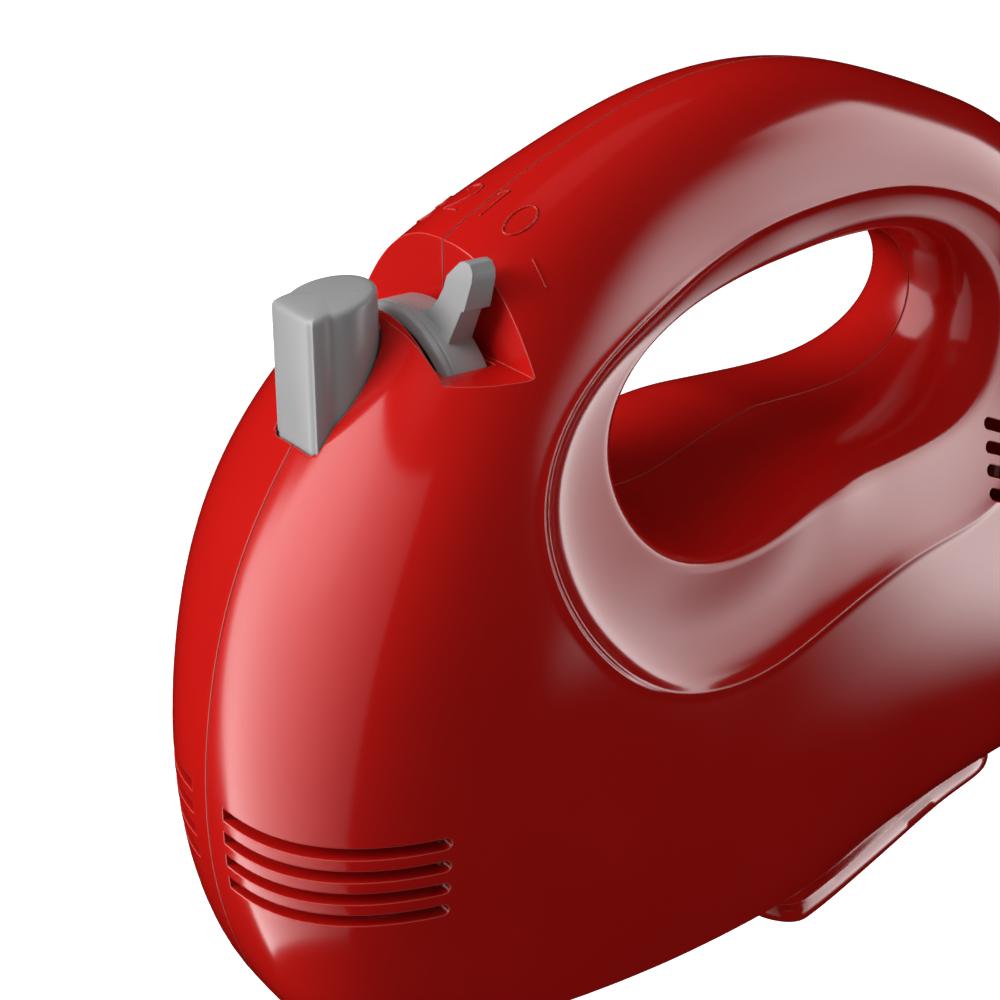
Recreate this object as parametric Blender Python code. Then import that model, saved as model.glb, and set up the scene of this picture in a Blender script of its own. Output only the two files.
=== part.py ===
"""Hand mixer as an assembly of separate parts, for Blender 4.5. Lengths are in millimetres until they
reach a mesh. The nose points to -X, the rear to +X, +Z is up, and the user's left side is -Y.
The origin is on the flat underside of the keel, where the mixer sits on its stand."""
import math

import bmesh
import bpy
import numpy as np
from mathutils import Matrix, Vector

MM = 0.001
GAP = 0.3              # clearance between pieces that touch
WALL = 2.2             # housing wall thickness
FRONT_WALL = 5.2       # wall around the front cooling slots
HAIRLINE = 0.004       # points closer than this are one point
HALF_SEAM = 0.15       # each housing half stops this far from the centre plane

# Housing outline: (angle in degrees, radius) around the middle of the handle opening.
OPENING_X = -31.4
OPENING_Z = 113.9
CREST_AND_NOSE = [(1, 87.6), (21, 77.2), (41, 63.4), (66, 54.7), (89, 53.1), (119, 56.1), (142, 64.4),
                  (154, 72.6), (167, 83.6), (178, 94.6), (189, 107.6), (201, 121.6), (211, 133.8),
                  (219, 142.5), (226, 147.2), (234, 144.0), (242, 139.5), (251, 136.0), (266, 125.5),
                  (276, 116.3), (287, 114.4), (301, 123.9), (311, 133.1), (325, 114.6), (341, 99.7)]
CREASE = [(20, 57.0), (35, 46.7), (56, 36.4), (84, 30.3), (114, 30.8), (140, 36.6), (159, 48.1),
          (170, 59.5), (178, 66.5), (185, 69.5), (194, 69.5), (208, 66.6), (223, 62.0), (242, 52.4),
          (259, 43.8), (284, 39.5), (309, 46.3), (328, 60.4), (346, 65.5), (2, 65.5)]
CREASE_HALF_WIDTH = [(20, 16.0), (56, 15.8), (84, 16.8), (114, 18.0), (140, 19.8), (159, 24.0),
                     (170, 28.0), (178, 31.7), (185, 34.3), (194, 37.0), (208, 38.2), (223, 37.8),
                     (242, 37.4), (259, 36.1), (284, 34.3), (309, 31.6), (328, 28.0), (346, 23.0),
                     (2, 18.5)]
RIM = [(7, 55.6), (25, 45.8), (39, 37.1), (66, 26.9), (103, 24.1), (136, 29.7), (159, 41.1), (171, 52.4),
       (182, 56.7), (189, 55.5), (201, 52.1), (214, 44.5), (228, 33.7), (255, 21.8), (272, 19.9),
       (300, 23.0), (329, 35.7), (334, 43.5), (344, 51.8), (357, 57.8)]
RIM_HALF_WIDTH = [(7, 16.5), (25, 15.4), (39, 15.2), (66, 15.8), (103, 17.2), (136, 19.0), (159, 23.0),
                  (171, 27.3), (182, 31.8), (189, 34.3), (201, 37.1), (214, 37.6), (228, 37.3),
                  (255, 35.2), (272, 34.3), (300, 31.5), (334, 26.0), (357, 18.5)]
OPENING = [(4, 46.6), (13, 45.6), (22, 40.5), (45, 27.0), (70, 20.6), (90, 18.9), (120, 21.3), (150, 30.6),
           (165, 39.1), (180, 46.8), (195, 46.8), (205, 43.4), (221, 34.2), (236, 23.3), (266, 16.3),
           (307, 18.3), (330, 27.2), (338, 36.6), (347, 42.8)]
FULLNESS = [(0, 2.4), (90, 2.3), (150, 2.5), (200, 2.6), (225, 2.8), (245, 3.6), (280, 4.0), (310, 3.4),
            (335, 2.6)]
# How far the flared side drops between the crease and the handle opening, and how quickly it drops.
FLARE_DROP = [(20, 1.0), (90, 1.0), (130, 1.8), (160, 3.4), (190, 4.4), (240, 4.4), (275, 3.8), (310, 2.4),
              (340, 1.4)]
FLARE_FALL = 5.0
RIM_SHIFT_X = 0.71     # how far the rim moves along X for each millimetre of drop
RIM_SHIFT_Z = -0.38    # and along Z
WAVES = 40             # the shortest wave in a guide curve spans 9 degrees
GUIDES = {}
AROUND = 38
OUTER_STEPS = 5
FLARE_STEPS = 3
INNER_STEPS = 3

LOWER_EDGE_Z = 9.35    # bottom edge of the two housing halves
COVER_TOP_Z = 11.4
KEEL_TOP_Z = 9.05
KEEL_FRONT_X = -42.0
KEEL_BACK_X = 52.0
KEEL_CORNER = 11.0
KEEL_X = [-42.0, -40.8, -37.8, -34.0, -31.0, -18.0, -4.0, 10.0, 24.0, 38.0, 47.0, 52.0]

# Drive
SHAFT_Z = 46.0
SPINDLE_X = -112.0
SPINDLE_Y = 17.0
GEAR_TEETH = 24
GEAR_PITCH_RADIUS = 13.0
WORM_PITCH_RADIUS = 4.0
THREAD_HEIGHT = 0.8
WORM_PITCH = 2 * math.pi * GEAR_PITCH_RADIUS / GEAR_TEETH
GEAR_LOW_Z = 42.5
GEAR_HIGH_Z = 49.5
SHAFT_RADIUS = 2.5
SPINDLE_RADIUS = 5.5
BEATER_SHAFT_RADIUS = 2.9
BEATER_TOP_Z = 46.0
BEATER_END_Z = -97.0
BEATER_RADIUS = 24.0
STATOR_X = (-76.0, -48.0)

# Speed lever
LEVER_Z = 116.0
DRUM_RADIUS = 20.4
DRUM_X = (-106.7, -98.6)
LEVER_REST_DEG = 23.0  # the off mark, on the user's left of the middle

# Eject button
BUTTON_FRONT_X = -126.0
BUTTON_FRONT_HALF_WIDTH = 6.2
BUTTON_ROUND_X = -118.5
BUTTON_RADIUS = 7.7
BUTTON_TOP_Z = (139.4, 142.2)
SPRING_X = -115.5
FRONT_SCREW_X = -97.5

RED = (0.52, 0.012, 0.010)
LIGHT_GREY = (0.46, 0.46, 0.48)
STEEL = (0.62, 0.62, 0.64)
MATERIALS = {}


def clear_scene():
    for obj in list(bpy.data.objects):
        bpy.data.objects.remove(obj, do_unlink=True)


def material(name, colour, roughness, metallic):
    mat = bpy.data.materials.new(name)
    mat.use_nodes = True
    shader = mat.node_tree.nodes["Principled BSDF"]
    shader.inputs["Base Color"].default_value = (*colour, 1.0)
    shader.inputs["Roughness"].default_value = roughness
    shader.inputs["Metallic"].default_value = metallic
    mat.diffuse_color = (*colour, 1.0)
    MATERIALS[name] = mat


def make_materials():
    material("housing_red", RED, 0.18, 0.0)
    material("control_grey", LIGHT_GREY, 0.35, 0.0)
    material("steel", STEEL, 0.25, 1.0)
    material("lamination", (0.30, 0.31, 0.34), 0.45, 1.0)
    material("copper_wire", (0.60, 0.22, 0.08), 0.35, 1.0)
    material("commutator_copper", (0.70, 0.32, 0.16), 0.30, 1.0)
    material("bronze", (0.55, 0.38, 0.16), 0.40, 1.0)
    material("carbon", (0.03, 0.03, 0.03), 0.70, 0.0)
    material("gear_nylon", (0.80, 0.78, 0.70), 0.45, 0.0)
    material("frame_black", (0.03, 0.03, 0.035), 0.50, 0.0)
    material("fan_plastic", (0.10, 0.16, 0.30), 0.50, 0.0)
    material("capacitor_yellow", (0.75, 0.55, 0.08), 0.45, 0.0)
    material("cable_rubber", (0.05, 0.05, 0.05), 0.60, 0.0)


def add_object(name, verts, faces, slot=None):
    mesh = bpy.data.meshes.new(name)
    mesh.from_pydata(verts, [], faces)
    obj = bpy.data.objects.new(name, mesh)
    bpy.context.scene.collection.objects.link(obj)
    face_outwards(mesh)
    if slot:
        mesh.materials.append(MATERIALS[slot])
    return obj


def face_outwards(mesh):
    bm = bmesh.new()
    bm.from_mesh(mesh)
    bmesh.ops.recalc_face_normals(bm, faces=bm.faces)
    bm.to_mesh(mesh)
    bm.free()


def carve(obj, tool, operation="DIFFERENCE"):
    """Applies a Boolean with the tool object, then removes the tool."""
    modifier = obj.modifiers.new("carve", "BOOLEAN")
    modifier.operation = operation
    modifier.solver = "EXACT"
    modifier.object = tool
    depsgraph = bpy.context.evaluated_depsgraph_get()
    mesh = bpy.data.meshes.new_from_object(obj.evaluated_get(depsgraph))
    obj.modifiers.remove(modifier)
    obj.data = mesh
    mesh.name = obj.name
    bpy.data.objects.remove(tool, do_unlink=True)
    heal(mesh)


def heal(mesh):
    """Closes the hairline splits that a Boolean can leave."""
    bm = bmesh.new()
    bm.from_mesh(mesh)
    bmesh.ops.remove_doubles(bm, verts=bm.verts, dist=HAIRLINE)
    bmesh.ops.dissolve_degenerate(bm, edges=bm.edges, dist=HAIRLINE)
    bmesh.ops.triangulate(bm, faces=bm.faces)
    bm.to_mesh(mesh)
    bm.free()


def join(tools):
    """Joins separate tool objects into the first one."""
    bm = bmesh.new()
    for tool in tools:
        bm.from_mesh(tool.data)
    bm.to_mesh(tools[0].data)
    bm.free()
    for tool in tools[1:]:
        bpy.data.objects.remove(tool, do_unlink=True)
    return tools[0]


def shade(obj, angle_deg=35.0):
    """Smooth shading with the hard edges kept."""
    obj.data.shade_smooth()
    obj.data.set_sharp_from_angle(angle=math.radians(angle_deg))


def set_origin(obj, point):
    """Moves the object's origin to a point on its joint axis."""
    shift = Vector(point)
    obj.data.transform(Matrix.Translation(-shift))
    obj.location = shift


def box(name, low, high, slot=None):
    verts = [(x, y, z) for x in (low[0], high[0]) for y in (low[1], high[1]) for z in (low[2], high[2])]
    faces = [(0, 1, 3, 2), (4, 6, 7, 5), (0, 4, 5, 1), (2, 3, 7, 6), (0, 2, 6, 4), (1, 5, 7, 3)]
    return add_object(name, verts, faces, slot)


def place(axis, along, across, up):
    """A point from its distance along an axis and its two distances across it."""
    if axis == "X":
        return (along, across, up)
    if axis == "Y":
        return (across, along, up)
    return (across, up, along)


def prism(name, outline, axis, low, high, slot=None):
    """An outline of (across, up) points, carried along an axis."""
    count = len(outline)
    verts = [place(axis, along, a, b) for along in (low, high) for a, b in outline]
    faces = [tuple(range(count)), tuple(range(2 * count - 1, count - 1, -1))]
    for i in range(count):
        j = (i + 1) % count
        faces.append((i, j, count + j, count + i))
    return add_object(name, verts, faces, slot)


def turned(name, profile, axis, centre, steps=16, slot=None):
    """A closed profile of (along, radius) points, turned around an axis through centre (across, up)."""
    verts = []
    rings = []
    for along, radius in profile:
        if radius == 0:
            rings.append([len(verts)] * steps)
            verts.append(place(axis, along, centre[0], centre[1]))
            continue
        rings.append(list(range(len(verts), len(verts) + steps)))
        for k in range(steps):
            turn = 2 * math.pi * k / steps
            verts.append(place(axis, along, centre[0] + radius * math.cos(turn),
                               centre[1] + radius * math.sin(turn)))
    faces = []
    for first, second in zip(rings, rings[1:] + rings[:1]):
        for k in range(steps):
            m = (k + 1) % steps
            corners = [first[k], first[m], second[m], second[k]]
            unique = list(dict.fromkeys(corners))
            if len(unique) > 2:
                faces.append(tuple(unique))
    return add_object(name, verts, faces, slot)


def rod(name, axis, centre, low, high, radius, steps=16, slot=None):
    return turned(name, [(low, 0), (low, radius), (high, radius), (high, 0)], axis, centre, steps, slot)


def ring(name, axis, centre, low, high, outer, inner, steps=16, slot=None):
    return turned(name, [(low, inner), (low, outer), (high, outer), (high, inner)], axis, centre, steps, slot)


def wave_terms(angle):
    """A constant, then the cosine and sine of each wave around the opening, at an angle in degrees."""
    turn = math.radians(angle)
    terms = [1.0]
    for k in range(1, WAVES + 1):
        terms.append(math.cos(k * turn))
        terms.append(math.sin(k * turn))
    return np.array(terms)


def add_guide(name, points, smoothing):
    """Fits the smoothest sum of waves that passes near (angle, value) points."""
    terms = np.array([wave_terms(angle) for angle, value in points])
    values = np.array([value for angle, value in points])
    stiffness = [0.0]
    for k in range(1, WAVES + 1):
        stiffness += [smoothing * k ** 4] * 2
    GUIDES[name] = np.linalg.solve(terms.T @ terms + np.diag(stiffness), terms.T @ values)


def make_guides():
    add_guide("crest", CREST_AND_NOSE, 0.00003)
    add_guide("crease", CREASE, 0.001)
    add_guide("crease_width", CREASE_HALF_WIDTH, 0.001)
    add_guide("rim", RIM, 0.004)
    add_guide("rim_width", RIM_HALF_WIDTH, 0.001)
    add_guide("opening", OPENING, 0.004)
    add_guide("fullness", FULLNESS, 0.01)
    add_guide("drop", FLARE_DROP, 0.01)


def guide(name, angle):
    """Value of a guide curve at an angle in degrees."""
    return float(wave_terms(angle) @ GUIDES[name])


def rounded(share, fullness):
    """Height of a rounded edge, 0 to 1, at a share of the way in from its tip."""
    return (1 - (1 - share) ** fullness) ** (1 / fullness)


def section(angle, inset):
    """Points (radius, half width) from the crest round the side to the edge of the handle opening."""
    crest = guide("crest", angle) - inset
    crease = guide("crease", angle)
    crease_width = guide("crease_width", angle) - inset
    drop = guide("drop", angle)
    turn = math.radians(angle)
    shift = RIM_SHIFT_X * math.cos(turn) + RIM_SHIFT_Z * math.sin(turn)
    rim = guide("rim", angle) + drop * shift + inset
    rim_width = guide("rim_width", angle) - drop - inset
    opening = guide("opening", angle) + inset
    fullness = guide("fullness", angle)
    points = []
    for k in range(OUTER_STEPS + 1):
        turn = math.pi / 2 * k / OUTER_STEPS
        share = 1 - math.cos(turn) ** (2 / fullness)
        points.append((crest + (crease - crest) * share, crease_width * rounded(share, fullness)))
    for k in range(1, FLARE_STEPS + 1):
        share = (k / (FLARE_STEPS + 1)) ** 1.5
        fallen = drop * math.exp(-share * (crease - rim) / FLARE_FALL)
        level = crease_width + (rim_width + drop - crease_width) * share
        width = level - drop + fallen
        points.append((crease + (rim - crease) * share, width))
    for k in range(INNER_STEPS + 1):
        turn = math.pi / 2 * k / INNER_STEPS
        points.append((opening + (rim - opening) * (1 - math.sin(turn)), rim_width * math.cos(turn)))
    return points


def half_body(name, side, inset, seam_y):
    """Closed solid of one half of the body. side is -1 for the left half and +1 for the right."""
    verts = []
    columns = []
    for k in range(AROUND):
        angle = 360 * k / AROUND
        turn = math.radians(angle)
        column = []
        points = section(angle, inset)
        for i, (radius, width) in enumerate(points):
            y = side * width
            if i in (0, len(points) - 1):
                y = seam_y
            column.append(len(verts))
            verts.append((OPENING_X + radius * math.cos(turn), y, OPENING_Z + radius * math.sin(turn)))
        columns.append(column)
    faces = []
    for k in range(AROUND):
        first = columns[k]
        second = columns[(k + 1) % AROUND]
        for i in range(len(first)):
            j = (i + 1) % len(first)
            faces.append((first[i], second[i], second[j], first[j]))
    return add_object(name, verts, faces)


def side_half_width(x, z, inset):
    """Half width of the body's side at a place between its outer edge and the crease."""
    angle = math.degrees(math.atan2(z - OPENING_Z, x - OPENING_X)) % 360
    radius = math.hypot(x - OPENING_X, z - OPENING_Z)
    crest = guide("crest", angle) - inset
    crease = guide("crease", angle)
    if radius >= crest:
        return 0.0
    share = (crest - radius) / (crest - crease)
    width = guide("crease_width", angle) - inset
    return width * rounded(share, guide("fullness", angle))


def lower_outline(z, inset, low_x, high_x, count):
    """Plan outline of the body at a height, left side from front to back, then the right side back."""
    left = []
    for k in range(count + 1):
        x = low_x + (high_x - low_x) * k / count
        width = side_half_width(x, z, inset)
        if width > 1.5:
            left.append((x, -width))
    return left + [(x, -y) for x, y in reversed(left)]


# Housing screws: (x, z) of each screw, all driven in from the right side.
SCREW_PLACES = [(-136.5, 73.0), (-134.5, 22.5), (-82.5, 140.5), (25.0, 139.5), (40.0, 32.0)]
SCREW_HEAD_Y = 10.3

# Front cooling slots: height of the top one, distance between them, and where they end.
FRONT_VENT_Z = 56.1
FRONT_VENT_STEP = 4.6
FRONT_VENT_END_X = -119.6


def block(side, x_range, y_from, z_range, y_to=50.0):
    """A box on one side of the centre plane, from y_from outwards."""
    ys = sorted((side * y_from, side * y_to))
    return box("block", (x_range[0], ys[0], z_range[0]), (x_range[1], ys[1], z_range[1]))


def cavity(side):
    """Space inside one half, less the ribs and bosses that stand in it."""
    space = half_body("space", side, WALL, -side * 1.0)
    carve(space, block(side, (-110.6, -94.4), -2, (127.0, 170.0), 27.7))
    carve(space, block(side, (-128.4, -108.0), -2, (96.0, 170.0), 10.3))
    thick_front = block(side, (-165.0, -120.4), -2, (38.0, 61.0), 60.0)
    carve(thick_front, half_body("inner", side, FRONT_WALL, -side * 3.0))
    carve(space, thick_front)
    ends = sorted((-side * 2.0, side * 60.0))
    bosses = [rod("boss", "Y", place_xz, ends[0], ends[1], 3.7, 12) for place_xz in SCREW_PLACES]
    ribs = [block(side, (-70.0, -54.0), 28.35, (34.0, 58.0)),
            block(side, (-116.0, -100.0), 25.75, (15.8, 19.3)),
            block(side, (-30.4, -28.0), 26.35, (32.0, 60.0)),
            block(side, (-95.9, -94.0), 10.35, (94.0, 118.0)),
            block(side, (5.5, 14.5), 6.5, (11.8, 26.0))]
    carve(space, join(bosses + ribs))
    return space


def vents(side):
    """Front and rear cooling slots of one half."""
    slots = []
    for k in range(4):
        z = FRONT_VENT_Z - FRONT_VENT_STEP * k
        slots.append(block(side, (-160.0, FRONT_VENT_END_X), 5.5, (z - 1.15, z + 1.15)))
    for k in range(4):
        low_z = 81.0 + 3.9 * k
        slots.append(block(side, (13.6, 27.0), 12.0, (low_z, low_z + 1.8)))
    return slots


def housing_half(name, side):
    shell = half_body(name, side, 0.0, side * HALF_SEAM)
    carve(shell, cavity(side))
    carve(shell, box("bottom", (-200, -60, -60), (120, 60, LOWER_EDGE_Z)))
    cuts = vents(side)
    cuts.append(prism("button_hole", button_outline(0.4), "Z", 90, 160))
    cuts.append(box("recess", (-108.4, -25.5, 129.2), (-96.6, 25.5, 170)))
    cuts.append(rod("inlet", "X", (0, 40.0), 50, 75, 5.0))
    for place_xz in SCREW_PLACES:
        if side < 0:
            cuts.append(rod("pilot", "Y", place_xz, -14, 2, 1.65, 10))
        else:
            cuts.append(turned("clearance", [(-2, 0), (-2, 1.7), (10, 1.7), (10, 3.2), (60, 3.2), (60, 0)],
                               "Y", place_xz, 12))
    cuts.append(rod("base_pilot", "Z", (10.0, side * 11.0), 5, 23, 1.6, 10))
    carve(shell, join(cuts))
    carve(shell, rod("drum_space", "X", (0, LEVER_Z), DRUM_X[0] - 0.7, DRUM_X[1] + 0.7, DRUM_RADIUS + 0.7, 32))
    shell.data.materials.clear()
    shell.data.materials.append(MATERIALS["housing_red"])
    shade(shell, 40)
    return shell


def keel_outline():
    """Plan of the keel: the body's own outline with the front corners rounded off."""
    left = []
    for x in KEEL_X:
        width = side_half_width(x, LOWER_EDGE_Z, 0.4)
        inside = min(1.0, (x - KEEL_FRONT_X) / KEEL_CORNER)
        left.append((x, KEEL_CORNER * (1 - math.sqrt(1 - (1 - inside) ** 2)) - width))
    return left + [(x, -y) for x, y in reversed(left)]


def base_cover():
    """Plate that closes the underside, with the raised keel at the rear that sits on the stand."""
    keel_line = keel_outline()
    lip = 1.4
    centre_x = (KEEL_FRONT_X + KEEL_BACK_X) / 2
    shrunk = []
    for x, y in keel_line:
        new_x = x + lip if x < centre_x else x - lip
        shrunk.append((new_x, y * (1 - lip / max(abs(y), 2 * lip))))
    count = len(keel_line)
    verts = [(x, y, 0.0) for x, y in shrunk]
    verts += [(x, y, 2.2) for x, y in keel_line]
    verts += [(x, y, KEEL_TOP_Z) for x, y in keel_line]
    faces = [tuple(range(count)), tuple(range(3 * count - 1, 2 * count - 1, -1))]
    for level in range(2):
        for i in range(count):
            j = (i + 1) % count
            a = level * count
            faces.append((a + i, a + j, a + count + j, a + count + i))
    cover = add_object("base_cover", verts, faces)
    plate_line = lower_outline(LOWER_EDGE_Z, WALL + 1.9, -130.0, 48.0, 16)
    neck_line = lower_outline(LOWER_EDGE_Z, WALL + 2.5, KEEL_FRONT_X + 1.0, 43.0, 6)
    carve(cover, prism("neck", neck_line, "Z", 8.0, 10.5), "UNION")
    carve(cover, prism("plate", plate_line, "Z", LOWER_EDGE_Z, COVER_TOP_Z), "UNION")
    cuts = [rod("socket_hole", "Z", (SPINDLE_X, side * SPINDLE_Y), 5, 15, 6.6) for side in (-1, 1)]
    for side in (-1, 1):
        cuts.append(rod("front_screw_hole", "Z", (FRONT_SCREW_X, side * 14.0), 5, 15, 1.8, 10))
        cuts.append(turned("rear_screw_hole", [(-2, 0), (-2, 3.4), (5, 3.4), (5, 1.8), (15, 1.8), (15, 0)],
                           "Z", (10.0, side * 11.0), 12))
    carve(cover, join(cuts))
    cover.data.materials.clear()
    cover.data.materials.append(MATERIALS["housing_red"])
    shade(cover)


def button_outline(margin):
    """Flat front towards the nose, sides that spread a little, and a round rear."""
    front = BUTTON_FRONT_X - margin
    half = BUTTON_FRONT_HALF_WIDTH + margin
    radius = BUTTON_RADIUS + margin
    points = [(front, -half), (front, half)]
    for k in range(13):
        turn = math.radians(120 - 20 * k)
        points.append((BUTTON_ROUND_X + radius * math.cos(turn), radius * math.sin(turn)))
    return points


def eject_button():
    outline = button_outline(0)
    count = len(outline)
    front_top, back_top = BUTTON_TOP_Z
    slope = (back_top - front_top) / (BUTTON_ROUND_X + BUTTON_RADIUS - BUTTON_FRONT_X)
    verts = [(x, y, 92.0) for x, y in outline]
    verts += [(x, y, front_top + slope * (x - BUTTON_FRONT_X)) for x, y in outline]
    faces = [tuple(range(count)), tuple(range(2 * count - 1, count - 1, -1))]
    for i in range(count):
        j = (i + 1) % count
        faces.append((i, j, count + j, count + i))
    button = add_object("eject_button", verts, faces)
    carve(button, box("flange", (-127.4, -9.6, 91.9), (-108.9, 9.6, 94.0)), "UNION")
    carve(button, rod("stem_hole", "Z", (BUTTON_ROUND_X, 0), 80, 100, 3.3))
    button.data.materials.append(MATERIALS["control_grey"])
    shade(button)
    set_origin(button, (BUTTON_ROUND_X, 0, 92.0))


def ejector_fork():
    """Stem under the button, crossbar, and the two pins that push the beaters out of their sockets."""
    fork = box("ejector_fork", (-124.5, -20.2, 71), (-108.6, 20.2, 75))
    carve(fork, rod("stem", "Z", (BUTTON_ROUND_X, 0), 74, 99.5, 3.0), "UNION")
    for side in (-1, 1):
        pin = rod("pin", "Z", (SPINDLE_X, side * SPINDLE_Y), BEATER_TOP_Z + GAP, 72, 2.6, 12)
        carve(fork, pin, "UNION")
    carve(fork, rod("spring_post", "Z", (SPRING_X, 0), 67.5, 72, 2.2, 12), "UNION")
    fork.data.materials.clear()
    fork.data.materials.append(MATERIALS["frame_black"])
    set_origin(fork, (BUTTON_ROUND_X, 0, 75))


def coil(name, centre, low, high, radius, wire, turns, slot, steps=10, sides=5):
    """A round wire wound around an axis parallel to Z."""
    verts = []
    count = int(turns * steps)
    for i in range(count + 1):
        turn = 2 * math.pi * i / steps
        z = low + wire + (high - low - 2 * wire) * i / count
        for k in range(sides):
            tilt = 2 * math.pi * k / sides
            r = radius + wire * math.cos(tilt)
            verts.append((centre[0] + r * math.cos(turn), centre[1] + r * math.sin(turn),
                          z + wire * math.sin(tilt)))
    faces = [tuple(range(sides)), tuple(range(len(verts) - 1, len(verts) - 1 - sides, -1))]
    for i in range(count):
        for k in range(sides):
            m = (k + 1) % sides
            a = i * sides
            faces.append((a + k, a + m, a + sides + m, a + sides + k))
    return add_object(name, verts, faces, slot)


def eject_spring():
    coil("eject_spring", (SPRING_X, 0), 57.3, 70.7, 4.0, 0.45, 4.5, "steel")


def speed_lever():
    """Drum that fills the slot in the housing, turning side to side, with the finger tab on it."""
    arc = []
    for k in range(21):
        turn = math.radians(-90 + 9 * k)
        arc.append((DRUM_RADIUS * math.sin(turn), LEVER_Z + DRUM_RADIUS * math.cos(turn)))
    lever = prism("speed_lever", arc, "X", DRUM_X[0], DRUM_X[1])
    carve(lever, rod("drum_inside", "X", (0, LEVER_Z), -120, DRUM_X[1] - 2.0, DRUM_RADIUS - 2.2, 30))
    carve(lever, rod("hub", "X", (0, LEVER_Z), DRUM_X[0] + 0.5, DRUM_X[1] - 0.4, 4.6, 16), "UNION")
    carve(lever, rod("pin_hole", "X", (0, LEVER_Z), -120, -80, 2.3, 16))
    top = LEVER_Z + DRUM_RADIUS
    tab = [(-103.9, top - 1), (-98.7, top - 1), (-98.1, top + 6), (-98.1, top + 13.6), (-102.4, top + 13.6),
           (-103.7, top + 6)]
    carve(lever, prism("tab", tab, "Y", -4.9, 1.6), "UNION")
    lever.data.materials.clear()
    lever.data.materials.append(MATERIALS["control_grey"])
    shade(lever)
    set_origin(lever, (sum(DRUM_X) / 2, 0, LEVER_Z))
    lever.data.transform(Matrix.Rotation(math.radians(LEVER_REST_DEG), 4, "X"))


def lever_mount():
    """Bracket, pivot pin and detent spring behind the speed lever, and the switch that it turns."""
    bracket = box("lever_bracket", (-96.2, -10, 90), (-93.7, 10, 121))
    carve(bracket, rod("pin_hole", "X", (0, LEVER_Z), -120, -80, 2.3, 16))
    bracket.data.materials.append(MATERIALS["frame_black"])
    rod("lever_pin", "X", (0, LEVER_Z), -107.7, -92.0, 2.0, 16, "steel")
    leaf = [(-97.9, 92), (-96.5, 92), (-96.5, 104), (-97.2, 110.6), (-97.9, 104)]
    prism("detent_spring", leaf, "Y", -3, 3, "steel")
    switch = box("speed_switch", (-93.4, -8, 92), (-85.0, 8, 111), "frame_black")
    carve(switch, box("terminal_slot", (-88.0, -5, 96), (-80, 5, 98)))


def stator():
    core = prism("stator_core", rounded_box(28.0, 26.0, 6.0), "X", STATOR_X[0], STATOR_X[1])
    cuts = [rod("bore", "X", (0, SHAFT_Z), -100, -40, 15.3, 32)]
    for side in (-1, 1):
        for low_z, high_z in ((SHAFT_Z + 13.2, SHAFT_Z + 21.3), (SHAFT_Z - 21.3, SHAFT_Z - 13.2)):
            ys = sorted((side * 15.7, side * 21.3))
            cuts.append(box("slot", (-100, ys[0], low_z), (-40, ys[1], high_z)))
    carve(core, join(cuts))
    core.data.materials.append(MATERIALS["lamination"])
    for side, name in ((-1, "field_coil_left"), (1, "field_coil_right")):
        ys = sorted((side * 16.0, side * 21.0))
        winding = box(name, (STATOR_X[0] - 6, ys[0], SHAFT_Z - 21), (STATOR_X[1] + 6, ys[1], SHAFT_Z + 21))
        pole = box("pole", (STATOR_X[0] - GAP, -30, SHAFT_Z - 13.5), (STATOR_X[1] + GAP, 30, SHAFT_Z + 13.5))
        carve(winding, pole)
        winding.data.materials.append(MATERIALS["copper_wire"])


def rounded_box(half_width, half_height, corner, steps=3):
    """Rounded rectangle around the motor shaft, as (y, z) points."""
    points = []
    for cx, cz, start in ((1, 1, 0), (-1, 1, 90), (-1, -1, 180), (1, -1, 270)):
        for k in range(steps + 1):
            turn = math.radians(start + 90 * k / steps)
            points.append((cx * (half_width - corner) + corner * math.cos(turn),
                           SHAFT_Z + cz * (half_height - corner) + corner * math.sin(turn)))
    return points


def slotted_ring(name, axis, centre, low, high, outer, slot_floor, inner, count, slot_share, twist, slot):
    """Ring with evenly spaced slots, or teeth, around its outside. twist turns the far end."""
    corners = []
    for k in range(count):
        for share, radius in ((-0.5 + slot_share[0], outer), (0.5 - slot_share[0], outer),
                              (0.5 - slot_share[1], slot_floor), (0.5 + slot_share[1], slot_floor)):
            corners.append(((k + share) / count, radius))
    verts = []
    for along, turn_by in ((low, -twist / 2), (high, twist / 2)):
        for around, radius in corners:
            turn = 2 * math.pi * around + turn_by
            verts.append(place(axis, along, centre[0] + radius * math.cos(turn),
                               centre[1] + radius * math.sin(turn)))
        for around, radius in corners:
            turn = 2 * math.pi * around + turn_by
            verts.append(place(axis, along, centre[0] + inner * math.cos(turn),
                               centre[1] + inner * math.sin(turn)))
    size = len(corners)
    faces = []
    for i in range(size):
        j = (i + 1) % size
        faces.append((i, j, size + j, size + i))
        faces.append((2 * size + i, 3 * size + i, 3 * size + j, 2 * size + j))
        faces.append((i, 2 * size + i, 2 * size + j, j))
        faces.append((size + i, size + j, 3 * size + j, 3 * size + i))
    return add_object(name, verts, faces, slot)


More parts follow.
